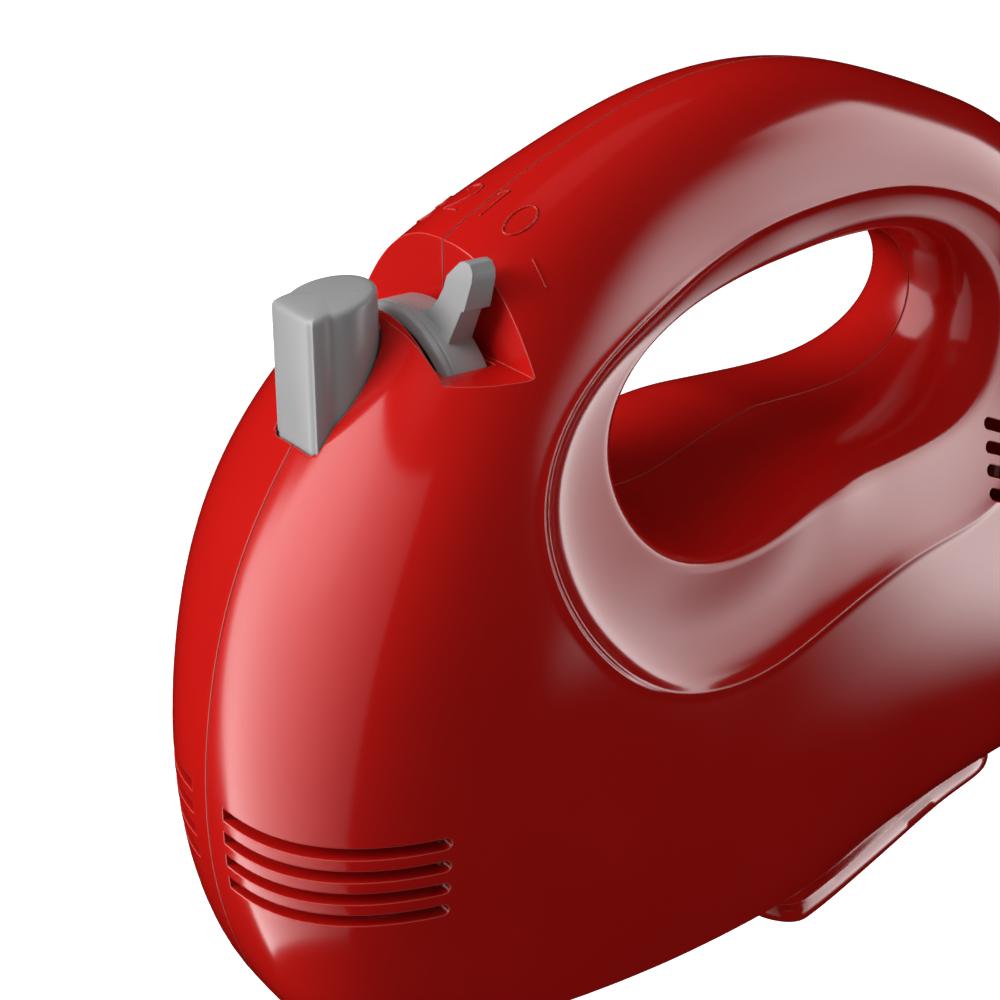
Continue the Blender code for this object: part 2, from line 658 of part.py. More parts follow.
def armature():
    centre = (0, SHAFT_Z)
    slotted_ring("armature_core", "X", centre, STATOR_X[0], STATOR_X[1], 14.5, 8.4, 2.8, 12,
                 (0.12, 0.14), 0.0, "lamination")
    low, high = STATOR_X
    profile = [(low - 5, 4), (low - 5, 12), (low - GAP, 12.8), (low - GAP, 4)]
    winding = turned("armature_winding", profile, "X", centre, 24)
    profile = [(high + GAP, 4), (high + GAP, 12.8), (high + 5, 12), (high + 5, 4)]
    rear_end = turned("rear_end", profile, "X", centre, 24)
    bars = []
    for k in range(12):
        turn = 2 * math.pi * (k + 0.5) / 12
        bar = box("bar", (low - 2, -0.55, 8.9), (high + 2, 0.55, 12.4))
        bar.data.transform(Matrix.Rotation(turn - math.pi / 2, 4, "X"))
        bar.data.transform(Matrix.Translation((0, 0, SHAFT_Z)))
        bars.append(bar)
    carve(winding, rear_end, "UNION")
    carve(winding, join(bars), "UNION")
    winding.data.materials.clear()
    winding.data.materials.append(MATERIALS["copper_wire"])
    set_origin(winding, (0, 0, SHAFT_Z))
    slotted_ring("commutator", "X", centre, STATOR_X[1] + 6.5, STATOR_X[1] + 16.5, 9.0, 8.5, 2.8, 12,
                 (0.03, 0.03), 0.0, "commutator_copper")
    fan = ring("cooling_fan", "X", centre, -92.4, -91.0, 19.5, 2.8, 24, None)
    blades = []
    for k in range(9):
        blade = box("blade", (-91.4, -0.6, 6.5), (-87.0, 0.6, 19.0))
        blade.data.transform(Matrix.Rotation(2 * math.pi * k / 9, 4, "X"))
        blade.data.transform(Matrix.Translation((0, 0, SHAFT_Z)))
        blades.append(blade)
    carve(fan, join(blades), "UNION")
    fan.data.materials.append(MATERIALS["fan_plastic"])


def worm_shaft():
    """Motor shaft with the worm cut on its front end. Each ring of points samples the screw thread."""
    steps = 12
    low = SPINDLE_X - 6.8
    pitches = 4
    per_pitch = 6
    verts = []
    rings = []

    def add_ring(x, radius_at):
        rings.append(list(range(len(verts), len(verts) + steps)))
        for k in range(steps):
            turn = 2 * math.pi * k / steps
            radius = radius_at(turn)
            verts.append((x, radius * math.cos(turn), SHAFT_Z + radius * math.sin(turn)))

    def plain(turn):
        return SHAFT_RADIUS

    add_ring(SPINDLE_X - 9.9, plain)
    add_ring(low, plain)
    for i in range(pitches * per_pitch + 1):
        x = low + WORM_PITCH * i / per_pitch
        phase = 2 * math.pi * (x - SPINDLE_X) / WORM_PITCH
        add_ring(x, lambda turn: WORM_PITCH_RADIUS + THREAD_HEIGHT * math.cos(phase - turn))
    add_ring(low + WORM_PITCH * pitches, plain)
    add_ring(STATOR_X[1] + 24.0, plain)
    faces = [tuple(rings[0]), tuple(reversed(rings[-1]))]
    for first, second in zip(rings, rings[1:]):
        for k in range(steps):
            m = (k + 1) % steps
            faces.append((first[k], first[m], second[m], second[k]))
    shaft = add_object("worm_shaft", verts, faces, "steel")
    set_origin(shaft, (0, 0, SHAFT_Z))


def spindle(side, word):
    centre = (SPINDLE_X, side * SPINDLE_Y)
    lead = WORM_PITCH / (2 * math.pi * WORM_PITCH_RADIUS)
    twist = lead * (GEAR_HIGH_Z - GEAR_LOW_Z) / GEAR_PITCH_RADIUS
    gear = slotted_ring("worm_gear_" + word, "Z", (0, 0), GEAR_LOW_Z, GEAR_HIGH_Z, 13.5, 11.9,
                        SPINDLE_RADIUS + GAP, GEAR_TEETH, (0.38, 0.25), twist, "gear_nylon")
    first_tooth = 90.0 if side < 0 else -90.0 + 180.0 / GEAR_TEETH
    gear.data.transform(Matrix.Rotation(math.radians(first_tooth), 4, "Z"))
    gear.location = (*centre, 0)
    profile = [(10.5, 3.2), (10.5, SPINDLE_RADIUS), (20.1, SPINDLE_RADIUS), (20.1, 7.0), (21.8, 7.0),
               (21.8, SPINDLE_RADIUS), (63.0, SPINDLE_RADIUS), (63.0, 3.2)]
    tube = turned("spindle_" + word, profile, "Z", centre, 16, "steel")
    set_origin(tube, (*centre, 0))
    for level, low, high in (("lower", 15.5, 19.8), ("upper", 53.2, 57.4)):
        ring("bush_" + level + "_" + word, "Z", centre, low, high, 7.4, SPINDLE_RADIUS + GAP, 16, "bronze")


def beater(side, word, turn_deg):
    """Shaft with a collar, and four flat wires that swell out to a cage and meet at the bottom."""
    profile = [(BEATER_END_Z, 0), (BEATER_END_Z, 3.4), (BEATER_END_Z + 4, 3.4), (BEATER_END_Z + 5, 2.2),
               (-24, 2.2), (-22, BEATER_SHAFT_RADIUS), (1, BEATER_SHAFT_RADIUS), (1, 5.2), (6.5, 5.2),
               (8, BEATER_SHAFT_RADIUS), (BEATER_TOP_Z - 1.5, BEATER_SHAFT_RADIUS), (BEATER_TOP_Z, 1.8),
               (BEATER_TOP_Z, 0)]
    shaft = turned("beater_" + word, profile, "Z", (0, 0), 12)
    wires = []
    for k in range(4):
        wire = beater_wire()
        wire.data.transform(Matrix.Rotation(math.radians(turn_deg + 90 * k), 4, "Z"))
        wires.append(wire)
    for wire in wires:
        carve(shaft, wire, "UNION")
    shaft.data.materials.clear()
    shaft.data.materials.append(MATERIALS["steel"])
    shaft.location = (SPINDLE_X, side * SPINDLE_Y, 0)


def beater_wire():
    """One flat wire from the shaft out to the cage's widest place and back to the bottom end."""
    top = -27.0
    bottom = BEATER_END_Z + 2.5
    steps = 12
    thick = 1.5
    wide = 2.6
    verts = []
    for i in range(steps + 1):
        share = i / steps
        bulge = math.sin(math.pi * share ** 1.15) ** 0.62 if 0 < share < 1 else 0.0
        centre_r = 1.2 + (BEATER_RADIUS - thick - 1.2) * bulge
        z = top + (bottom - top) * share
        slope = 1.0 if share < 0.06 or share > 0.94 else 0.0
        dz = thick / 2 if slope else 0.0
        dr = 0.0 if slope else thick / 2
        sign = 1 if share < 0.5 else -1
        for r, h in ((centre_r - dr, z - sign * dz), (centre_r + dr, z + sign * dz)):
            verts.append((r, -wide / 2, h))
            verts.append((r, wide / 2, h))
    faces = [(0, 1, 3, 2)]
    last = 4 * steps
    faces.append((last, last + 2, last + 3, last + 1))
    for i in range(steps):
        a = 4 * i
        b = a + 4
        for p, q in ((0, 1), (1, 3), (3, 2), (2, 0)):
            faces.append((a + p, b + p, b + q, a + q))
    return add_object("wire", verts, faces)


def gearbox():
    """Base with the motor wall and front post, and the cover that holds the upper bushes."""
    plan = [(-122.3, -22.5), (-115.0, -25.4), (-94.0, -25.4), (-94.0, 25.4), (-115.0, 25.4), (-122.3, 22.5)]
    base = prism("gearbox_base", plan, "Z", 15.5, 19.5)
    carve(base, box("motor_wall", (-97.0, -20, 18), (-94.0, 20, 53.0)), "UNION")
    carve(base, box("front_post", (-122.3, -4.5, 18), (-119.5, 4.5, 53.0)), "UNION")
    cuts = [rod("bearing_hole", "X", (0, SHAFT_Z), -100, -90, 6.3, 20),
            rod("shaft_hole", "X", (0, SHAFT_Z), -130, -115, 2.8, 16)]
    for side in (-1, 1):
        cuts.append(rod("bush_hole", "Z", (SPINDLE_X, side * SPINDLE_Y), 10, 30, 7.7))
        cuts.append(rod("screw_hole", "Z", (FRONT_SCREW_X, side * 14.0), 10, 18.8, 1.6, 10))
    carve(base, join(cuts))
    cover = box("gearbox_cover", (-122.3, -26, 53.3), (-94.0, 26, 57.0))
    cuts = [rod("bush_hole", "Z", (SPINDLE_X, side * SPINDLE_Y), 50, 60, 7.7) for side in (-1, 1)]
    carve(cover, join(cuts))
    for part in (base, cover):
        part.data.materials.clear()
        part.data.materials.append(MATERIALS["frame_black"])
    ring("front_bearing", "X", (0, SHAFT_Z), -97.6, -93.4, 6.0, 2.8, 16, "bronze")


def rear_bracket():
    """Bracket at the back of the motor, with the rear bearing and the two brush holders."""
    bracket = box("rear_motor_bracket", (-30.7, -26, 24), (-27.7, 26, 68))
    carve(bracket, rod("bearing_hole", "X", (0, SHAFT_Z), -40, -20, 6.3, 20))
    bracket.data.materials.append(MATERIALS["frame_black"])
    ring("rear_bearing", "X", (0, SHAFT_Z), -31.2, -26.4, 6.0, 2.8, 16, "bronze")
    for side, word in ((-1, "left"), (1, "right")):
        ys = sorted((side * 10.5, side * 25.5))
        holder = box("brush_holder_" + word, (-40.5, ys[0], SHAFT_Z - 4), (-32.5, ys[1], SHAFT_Z + 4))
        ys = sorted((side * 5.0, side * 24.3))
        carve(holder, box("brush_space", (-39.3, ys[0], SHAFT_Z - 2.8), (-33.7, ys[1], SHAFT_Z + 2.8)))
        holder.data.materials.append(MATERIALS["bronze"])
        ys = sorted((side * 9.35, side * 18.5))
        box("carbon_brush_" + word, (-39.0, ys[0], SHAFT_Z - 2.5), (-34.0, ys[1], SHAFT_Z + 2.5), "carbon")
        spring = coil("brush_spring_" + word, (0, 0), 0, 5.2, 1.7, 0.25, 4, "steel", 8, 4)
        spring.data.transform(Matrix.Rotation(math.radians(-90 * side), 4, "X"))
        spring.location = (-36.5, side * 18.8, SHAFT_Z)


def fasteners():
    for number, place_xz in enumerate(SCREW_PLACES, 1):
        profile = [(-12, 0), (-11, 1.3), (SCREW_HEAD_Y, 1.3), (SCREW_HEAD_Y, 2.8), (SCREW_HEAD_Y + 2, 2.4),
                   (SCREW_HEAD_Y + 2, 0)]
        turned("housing_screw_%d" % number, profile, "Y", place_xz, 12, "steel")
    places = [(FRONT_SCREW_X, -1, 18.4, 9.05), (FRONT_SCREW_X, 1, 18.4, 9.05),
              (10.0, -1, 21.5, 4.7), (10.0, 1, 21.5, 4.7)]
    for number, (x, side, top, head) in enumerate(places, 1):
        y = side * (14.0 if x < 0 else 11.0)
        profile = [(head - 1.9, 0), (head - 1.9, 2.3), (head, 2.8), (head, 1.3), (top - 1, 1.3), (top, 0)]
        turned("base_screw_%d" % number, profile, "Z", (x, y), 12, "steel")


def electrics():
    box("suppressor_capacitor", (-27, -7.5, COVER_TOP_Z + GAP), (-9, 7.5, 23.5), "capacitor_yellow")
    terminal = box("terminal_block", (20, -5.5, COVER_TOP_Z + GAP), (32, 5.5, 21.0), "gear_nylon")
    carve(terminal, join([rod("way", "X", (y, 16.5), 15, 40, 1.6, 10) for y in (-2.7, 2.7)]))
    profile = [(53.5, 3.1), (53.5, 7.4), (56.3, 7.4), (56.3, 4.7), (63.4, 4.7), (63.4, 6.2), (65.6, 6.2),
               (67.0, 5.2), (84.0, 4.1), (84.0, 3.1)]
    turned("cord_sleeve", profile, "X", (0, 40.0), 20, "cable_rubber")


def to_metres():
    """The shapes are drawn in millimetres, and this brings every object to metres."""
    for obj in bpy.data.objects:
        obj.data.transform(Matrix.Scale(MM, 4))
        obj.location = obj.location * MM


def build():
    clear_scene()
    make_materials()
    make_guides()
    housing_half("housing_left", -1)
    housing_half("housing_right", 1)
    base_cover()
    eject_button()
    ejector_fork()
    eject_spring()
    speed_lever()
    lever_mount()
    stator()
    armature()
    worm_shaft()
    for side, word, turn_deg in ((-1, "left", 0.0), (1, "right", 45.0)):
        spindle(side, word)
        beater(side, word, turn_deg)
    gearbox()
    rear_bracket()
    fasteners()
    electrics()
    to_metres()


build()
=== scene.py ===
import math

import bmesh
import bpy
import numpy as np
from mathutils import Matrix, Vector
from mathutils.bvhtree import BVHTree


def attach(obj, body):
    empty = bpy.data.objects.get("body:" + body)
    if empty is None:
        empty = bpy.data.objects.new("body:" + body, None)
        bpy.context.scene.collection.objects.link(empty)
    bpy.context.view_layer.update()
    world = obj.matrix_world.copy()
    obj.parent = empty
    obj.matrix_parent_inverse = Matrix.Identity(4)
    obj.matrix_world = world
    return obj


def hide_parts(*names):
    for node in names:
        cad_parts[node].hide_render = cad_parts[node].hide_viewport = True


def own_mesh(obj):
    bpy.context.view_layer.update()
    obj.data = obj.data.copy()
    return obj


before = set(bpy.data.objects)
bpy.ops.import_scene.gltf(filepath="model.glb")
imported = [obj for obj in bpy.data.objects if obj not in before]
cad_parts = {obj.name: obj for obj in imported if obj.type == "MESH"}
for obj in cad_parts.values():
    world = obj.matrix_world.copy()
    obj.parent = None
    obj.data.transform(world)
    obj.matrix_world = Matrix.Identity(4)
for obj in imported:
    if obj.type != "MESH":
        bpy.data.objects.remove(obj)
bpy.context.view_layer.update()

MM = 0.001

# ---------------------------------------------------------------- guide curves of the body (degrees, mm)
OPENING_X = -31.4
OPENING_Z = 113.9
WAVES = 40
GUIDE_POINTS = {
    "crest": (0.00003, [(1, 87.6), (21, 77.2), (41, 63.4), (66, 54.7), (89, 53.1), (119, 56.1), (142, 64.4),
                   (154, 72.6), (167, 83.6), (178, 94.6), (189, 107.6), (201, 121.6), (211, 133.8),
                   (219, 142.5), (226, 147.2), (234, 144.0), (242, 139.5), (251, 136.0), (266, 125.5),
                   (276, 116.3), (287, 114.4), (301, 123.9), (311, 133.1), (325, 114.6), (341, 99.7)]),
    "crease": (0.001, [(20, 57.0), (35, 46.7), (56, 36.4), (84, 30.3), (114, 30.8), (140, 36.6), (159, 48.1),
                   (170, 59.5), (178, 66.5), (185, 69.5), (194, 69.5), (208, 66.6), (223, 62.0), (242, 52.4),
                   (259, 43.8), (284, 39.5), (309, 46.3), (328, 60.4), (346, 65.5), (2, 65.5)]),
    "crease_width": (0.001, [(20, 16.0), (56, 15.8), (84, 16.8), (114, 18.0), (140, 19.8), (159, 24.0),
                         (170, 28.0), (178, 31.7), (185, 34.3), (194, 37.0), (208, 38.2), (223, 37.8),
                         (242, 37.4), (259, 36.1), (284, 34.3), (309, 31.6), (328, 28.0), (346, 23.0),
                         (2, 18.5)]),
    "rim": (0.004, [(7, 55.6), (25, 45.8), (39, 37.1), (66, 26.9), (103, 24.1), (136, 29.7), (159, 41.1),
                (171, 52.4), (182, 56.7), (189, 55.5), (201, 52.1), (214, 44.5), (228, 33.7), (255, 21.8),
                (272, 19.9), (300, 23.0), (329, 35.7), (334, 43.5), (344, 51.8), (357, 57.8)]),
    "rim_width": (0.001, [(7, 16.5), (25, 15.4), (39, 15.2), (66, 15.8), (103, 17.2), (136, 19.0),
                          (159, 23.0), (171, 27.3), (182, 31.8), (189, 34.3), (201, 37.1), (214, 37.6),
                          (228, 37.3), (255, 35.2), (272, 34.3), (300, 31.5), (334, 26.0), (357, 18.5)]),
    "opening": (0.004, [(4, 46.6), (13, 45.6), (22, 40.5), (45, 27.0), (70, 20.6), (90, 18.9), (120, 21.3),
                    (150, 30.6), (165, 39.1), (180, 46.8), (195, 46.8), (205, 43.4), (221, 34.2),
                    (236, 23.3), (266, 16.3), (307, 18.3), (330, 27.2), (338, 36.6), (347, 42.8)]),
    "fullness": (0.01, [(0, 2.4), (90, 2.3), (150, 2.5), (200, 2.6), (225, 2.8), (245, 3.6), (280, 4.0),
                     (310, 3.4), (335, 2.6)]),
    "drop": (0.01, [(20, 1.0), (90, 1.0), (130, 1.8), (160, 3.4), (190, 4.4), (240, 4.4), (275, 3.8),
                    (310, 2.4), (340, 1.4)]),
}
GUIDES = {}
FLARE_FALL = 5.0        # how quickly the flared side drops behind the crease
RIM_SHIFT_X = 0.71      # how far the rim moves along X for each millimetre of drop
RIM_SHIFT_Z = -0.38     # and along Z

# ---------------------------------------------------------------- driving dimensions (mm)
AROUND = 320            # sections around the handle opening
COARSE_AROUND = 96      # the same for the hidden inner surfaces
WALL = 2.2
FRONT_WALL = 5.2        # wall around the front cooling slots
SEAM = 0.15             # each half stops this far from the centre plane
LOWER_EDGE_Z = 9.35     # bottom edge of the two halves
COVER_TOP_Z = 11.4
KEEL_TOP_Z = 9.05
KEEL_FRONT_X = -42.0
KEEL_BACK_X = 52.0
KEEL_CORNER = 11.0
CORD_Z = 40.0
SCREW_PLACES = [(-136.5, 73.0), (-134.5, 22.5), (-82.5, 140.5), (25.0, 139.5), (40.0, 32.0)]
SCREW_HEAD_Y = 10.3
BASE_SCREW_X = (-97.5, 10.0)
BASE_SCREW_Y = (14.0, 11.0)
BASE_SCREW_HEAD_Z = (7.15, 2.8)
REAR_VENT_STEP = 4.4
FRONT_VENT_Z = 56.1
FRONT_VENT_STEP = 4.6
FRONT_VENT_END_X = -119.6
VENT_COUNT = 4
RECESS_X = (-108.4, -96.6)
RECESS_FLOOR_Z = 129.2
RECESS_HALF_WIDTH = 25.5
LEVER_Z = 116.0
LEVER_REST_DEG = 23.0   # the off mark, on the user's left of the middle
DRUM_RADIUS = 20.4
DRUM_GAP = 0.7
DRUM_X = (-106.7, -98.6)
BUTTON_FRONT_X = -126.0
BUTTON_FRONT_HALF_WIDTH = 6.2
BUTTON_ROUND_X = -118.5
BUTTON_RADIUS = 7.7
BUTTON_TOP_Z = (139.4, 142.2)
SPINDLE_X = -112.0
SPINDLE_Y = 17.0
BEATER_END_Z = -97.0
HEAL = 0.002            # points closer than this after a cut are one point
BEYOND = 60.0           # cutters reach this far past the surface


def wave_terms(angle):
    """A constant, then the cosine and sine of each wave around the opening, at an angle in degrees."""
    turn = math.radians(angle)
    terms = [1.0]
    for k in range(1, WAVES + 1):
        terms.append(math.cos(k * turn))
        terms.append(math.sin(k * turn))
    return np.array(terms)


def make_guides():
    """Fits the smoothest sum of waves that passes near each guide's (angle, value) points."""
    for name, (smoothing, points) in GUIDE_POINTS.items():
        terms = np.array([wave_terms(angle) for angle, value in points])
        values = np.array([value for angle, value in points])
        stiffness = [0.0]
        for k in range(1, WAVES + 1):
            stiffness += [smoothing * k ** 4] * 2
        GUIDES[name] = np.linalg.solve(terms.T @ terms + np.diag(stiffness), terms.T @ values)


def guide(name, angle):
    """Value of a guide curve at an angle in degrees."""
    return float(wave_terms(angle) @ GUIDES[name])


def rounded(share, fullness):
    """Height of a rounded edge, 0 to 1, at a share of the way in from its tip."""
    return (1 - (1 - share) ** fullness) ** (1 / fullness)


def smooth_step(value, low, high):
    """Rises smoothly from 0 at low to 1 at high."""
    share = min(1.0, max(0.0, (value - low) / (high - low)))
    return share * share * (3 - 2 * share)


# ---------------------------------------------------------------- mesh helpers (drawn in mm, scaled last)
def new_object(name, verts, faces):
    mesh = bpy.data.meshes.new(name)
    mesh.from_pydata([tuple(v) for v in verts], [], faces)
    bm = bmesh.new()
    bm.from_mesh(mesh)
    bmesh.ops.recalc_face_normals(bm, faces=bm.faces)
    bm.to_mesh(mesh)
    bm.free()
    obj = bpy.data.objects.new(name, mesh)
    bpy.context.scene.collection.objects.link(obj)
    return obj


def carve(obj, tool, operation="DIFFERENCE"):
    """Applies a Boolean with the tool object, removes the tool and closes hairline splits."""
    modifier = obj.modifiers.new("carve", "BOOLEAN")
    modifier.operation = operation
    modifier.solver = "EXACT"
    modifier.object = tool
    depsgraph = bpy.context.evaluated_depsgraph_get()
    mesh = bpy.data.meshes.new_from_object(obj.evaluated_get(depsgraph))
    obj.modifiers.remove(modifier)
    obj.data = mesh
    bpy.data.objects.remove(tool, do_unlink=True)
    bm = bmesh.new()
    bm.from_mesh(mesh)
    bmesh.ops.remove_doubles(bm, verts=bm.verts, dist=HEAL)
    bmesh.ops.dissolve_degenerate(bm, edges=bm.edges, dist=HEAL)
    bm.to_mesh(mesh)
    bm.free()


def join(objs, name=None):
    bm = bmesh.new()
    for obj in objs:
        bm.from_mesh(obj.data)
    bm.to_mesh(objs[0].data)
    bm.free()
    for obj in objs[1:]:
        bpy.data.objects.remove(obj, do_unlink=True)
    if name:
        objs[0].name = name
    return objs[0]


def mark_tool(obj, slot=1):
    """Faces a cutter leaves behind carry their own slot number."""
    while len(obj.data.materials) <= slot:
        obj.data.materials.append(None)
    for polygon in obj.data.polygons:
        polygon.material_index = slot
    return obj


def place(axis, along, across, up):
    """A point from its distance along an axis and its two distances across it."""
    if axis == "X":
        return (along, across, up)
    if axis == "Y":
        return (across, along, up)
    return (across, up, along)


def prism(name, outline, axis, low, high):
    """An outline of (across, up) points, carried along an axis."""
    count = len(outline)
    verts = [place(axis, along, a, b) for along in (low, high) for a, b in outline]
    faces = [tuple(range(count)), tuple(range(2 * count - 1, count - 1, -1))]
    faces += [(i, (i + 1) % count, count + (i + 1) % count, count + i) for i in range(count)]
    return new_object(name, verts, faces)


def box(name, low, high):
    outline = [(low[0], low[1]), (high[0], low[1]), (high[0], high[1]), (low[0], high[1])]
    return prism(name, outline, "Z", low[2], high[2])


def turned(name, profile, axis, centre, steps=48):
    """A closed profile of (along, radius) points, turned around an axis through centre."""
    verts = []
    rings = []
    for along, radius in profile:
        if radius == 0:
            rings.append([len(verts)] * steps)
            verts.append(place(axis, along, centre[0], centre[1]))
            continue
        rings.append(list(range(len(verts), len(verts) + steps)))
        for k in range(steps):
            turn = 2 * math.pi * k / steps
            verts.append(place(axis, along, centre[0] + radius * math.cos(turn),
                               centre[1] + radius * math.sin(turn)))
    faces = []
    for first, second in zip(rings, rings[1:] + rings[:1]):
        for k in range(steps):
            m = (k + 1) % steps
            unique = list(dict.fromkeys([first[k], first[m], second[m], second[k]]))
            if len(unique) > 2:
                faces.append(tuple(unique))
    return new_object(name, verts, faces)


def rod(name, axis, centre, low, high, radius, steps=48):
    return turned(name, [(low, 0), (low, radius), (high, radius), (high, 0)], axis, centre, steps)


def lofted(name, rings):
    """Closed solid through rings of equal length, capped at both ends."""
    count = len(rings[0])
    verts = [p for ring in rings for p in ring]
    faces = [tuple(range(count)), tuple(range(len(verts) - 1, len(verts) - 1 - count, -1))]
    for level in range(len(rings) - 1):
        for i in range(count):
            j = (i + 1) % count
            a = level * count
            faces.append((a + i, a + j, a + count + j, a + count + i))
    return new_object(name, verts, faces)


def tube(name, points, radius, sides=8):
    """Round bar along a line of points."""
    points = [Vector(p) for p in points]
    rings = []
    normal = None
    for i, point in enumerate(points):
        ahead = points[min(i + 1, len(points) - 1)] - points[max(i - 1, 0)]
        ahead.normalize()
        if normal is None:
            normal = ahead.orthogonal().normalized()
        normal = (normal - ahead * normal.dot(ahead)).normalized()
        side = ahead.cross(normal)
        rings.append([point + radius * (math.cos(2 * math.pi * k / sides) * normal
                                        + math.sin(2 * math.pi * k / sides) * side) for k in range(sides)])
    return lofted(name, rings)


def soften(obj, angle=35.0):
    """Smooth shading with the hard edges kept."""
    obj.data.shade_smooth()
    obj.data.set_sharp_from_angle(angle=math.radians(angle))


def round_edges(obj, width, segments=3, angle=30.0):
    """Real rounded edges on a simple solid."""
    modifier = obj.modifiers.new("round", "BEVEL")
    modifier.width = width
    modifier.segments = segments
    modifier.limit_method = "ANGLE"
    modifier.angle_limit = math.radians(angle)
    depsgraph = bpy.context.evaluated_depsgraph_get()
    mesh = bpy.data.meshes.new_from_object(obj.evaluated_get(depsgraph))
    obj.modifiers.remove(modifier)
    obj.data = mesh


def finish_piece(obj, body, material, nodes=(), angle=35.0, keep_shading=False):
    """Scales a piece to metres, gives it its material and lets it ride on its body."""
    obj.data.transform(Matrix.Scale(MM, 4))
    obj.data.materials.clear()
    obj.data.materials.append(material)
    for polygon in obj.data.polygons:
        polygon.material_index = 0
    if not keep_shading:
        soften(obj, angle)
    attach(obj, body)
    for node in nodes:
        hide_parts(node)
    return obj


# ---------------------------------------------------------------- body
SEAM_RIDGE = 0.07       # the two halves meet at a very slight ridge
CREASE_REACH = 3.2
CREASE_SAMPLES = [3.2, 2.6, 2.1, 1.7, 1.4, 1.15, 0.95, 0.78, 0.62, 0.48, 0.35, 0.23, 0.11]
SIDE_STEPS = 30
FLARE_STEPS = 14
TUNNEL_STEPS = 16


def crease_detail(distance, angle):
    """Height of the rounded bead and of the fine groove beside it, at a distance out from the crease."""
    front = smooth_step(angle, 132, 160) * (1 - smooth_step(angle, 205, 226))
    bead = (0.16 + 0.30 * front) * math.exp(-(distance / 1.15) ** 2)
    groove = 0.62 * math.exp(-((distance - 0.1) / 0.33) ** 2) * front
    return bead - groove


def section(angle, inset, detail):
    """Points (radius, half width) from the crest round the side to the edge of the handle opening."""
    crest = guide("crest", angle) - inset
    crease = guide("crease", angle)
    crease_width = guide("crease_width", angle) - inset
    drop = guide("drop", angle)
    around = math.radians(angle)
    shift = RIM_SHIFT_X * math.cos(around) + RIM_SHIFT_Z * math.sin(around)
    rim = guide("rim", angle) + drop * shift + inset
    rim_width = guide("rim_width", angle) - drop - inset
    opening = guide("opening", angle) + inset
    fullness = guide("fullness", angle)
    points = []

    def side_width(distance):
        share = 1 - distance / (crest - crease)
        return crease_width * rounded(share, fullness)

    def flare_width(share):
        fallen = drop * (math.exp(-share * (crease - rim) / FLARE_FALL) - 1)
        return crease_width + (rim_width + drop - crease_width) * share + fallen

    end_turn = math.acos((CREASE_REACH / (crest - crease)) ** (fullness / 2))
    for k in range(SIDE_STEPS):
        turn = end_turn * k / SIDE_STEPS
        distance = (crest - crease) * math.cos(turn) ** (2 / fullness)
        points.append((crease + distance, side_width(distance)))
    for distance in CREASE_SAMPLES:
        raised = crease_detail(distance, angle) if detail else 0.0
        points.append((crease + distance, side_width(distance) + raised))
    span = crease - rim
    points.append((crease, crease_width + (crease_detail(0, angle) if detail else 0.0)))
    for distance in reversed(CREASE_SAMPLES):
        raised = crease_detail(-distance, angle) if detail else 0.0
        points.append((crease - distance, flare_width(distance / span) + raised))
    for k in range(1, FLARE_STEPS + 1):
        distance = CREASE_REACH + (span - CREASE_REACH) * k / FLARE_STEPS
        points.append((crease - distance, flare_width(distance / span)))
    for k in range(1, TUNNEL_STEPS + 1):
        turn = math.pi / 2 * k / TUNNEL_STEPS
        power = 2 / 2.5
        points.append((opening + (rim - opening) * (1 - math.sin(turn) ** power),
                       flare_width(1.0) * max(0.0, math.cos(turn)) ** power))
    return points


def half_body(name, side, inset, seam_y, around, detail):
    """Closed solid of one half of the body. side is -1 for the left half and +1 for the right."""
    verts = []
    columns = []
    for k in range(around):
        angle = 360 * k / around
        turn = math.radians(angle)
        column = []
        points = section(angle, inset, detail)
        for i, (radius, width) in enumerate(points):
            y = side * width
            if i in (0, len(points) - 1):
                y = seam_y
            column.append(len(verts))
            verts.append((OPENING_X + radius * math.cos(turn), y, OPENING_Z + radius * math.sin(turn)))
        columns.append(column)
    faces = []
    for k in range(around):
        first = columns[k]
        second = columns[(k + 1) % around]
        for i in range(len(first)):
            j = (i + 1) % len(first)
            faces.append((first[i], second[i], second[j], first[j]))
    return new_object(name, verts, faces)


def side_half_width(x, z, inset=0.0):
    """Half width of the body's side at a place between its outer edge and the crease."""
    angle = math.degrees(math.atan2(z - OPENING_Z, x - OPENING_X)) % 360
    radius = math.hypot(x - OPENING_X, z - OPENING_Z)
    crest = guide("crest", angle) - inset
    crease = guide("crease", angle)
    if radius >= crest:
        return 0.0
    share = (crest - radius) / (crest - crease)
    return (guide("crease_width", angle) - inset) * rounded(share, guide("fullness", angle))


def block(side, x_range, y_from, z_range, y_to=50.0):
    """A box on one side of the centre plane, from y_from outwards."""
    ys = sorted((side * y_from, side * y_to))
    return box("block", (x_range[0], ys[0], z_range[0]), (x_range[1], ys[1], z_range[1]))


def front_slot(side, z, half_height=1.2):
    """Rounded slot seen from the front, cut straight back to a rounded end."""
    steps = 12
    back = FRONT_VENT_END_X - half_height
    outline = [(-165.0, z - half_height)]
    for k in range(steps + 1):
        turn = -math.pi / 2 + math.pi * k / steps
        outline.append((back + half_height * math.cos(turn), z + half_height * math.sin(turn)))
    outline.append((-165.0, z + half_height))
    ys = sorted((side * 5.5, side * BEYOND))
    return prism("slot", outline, "Y", ys[0], ys[1])


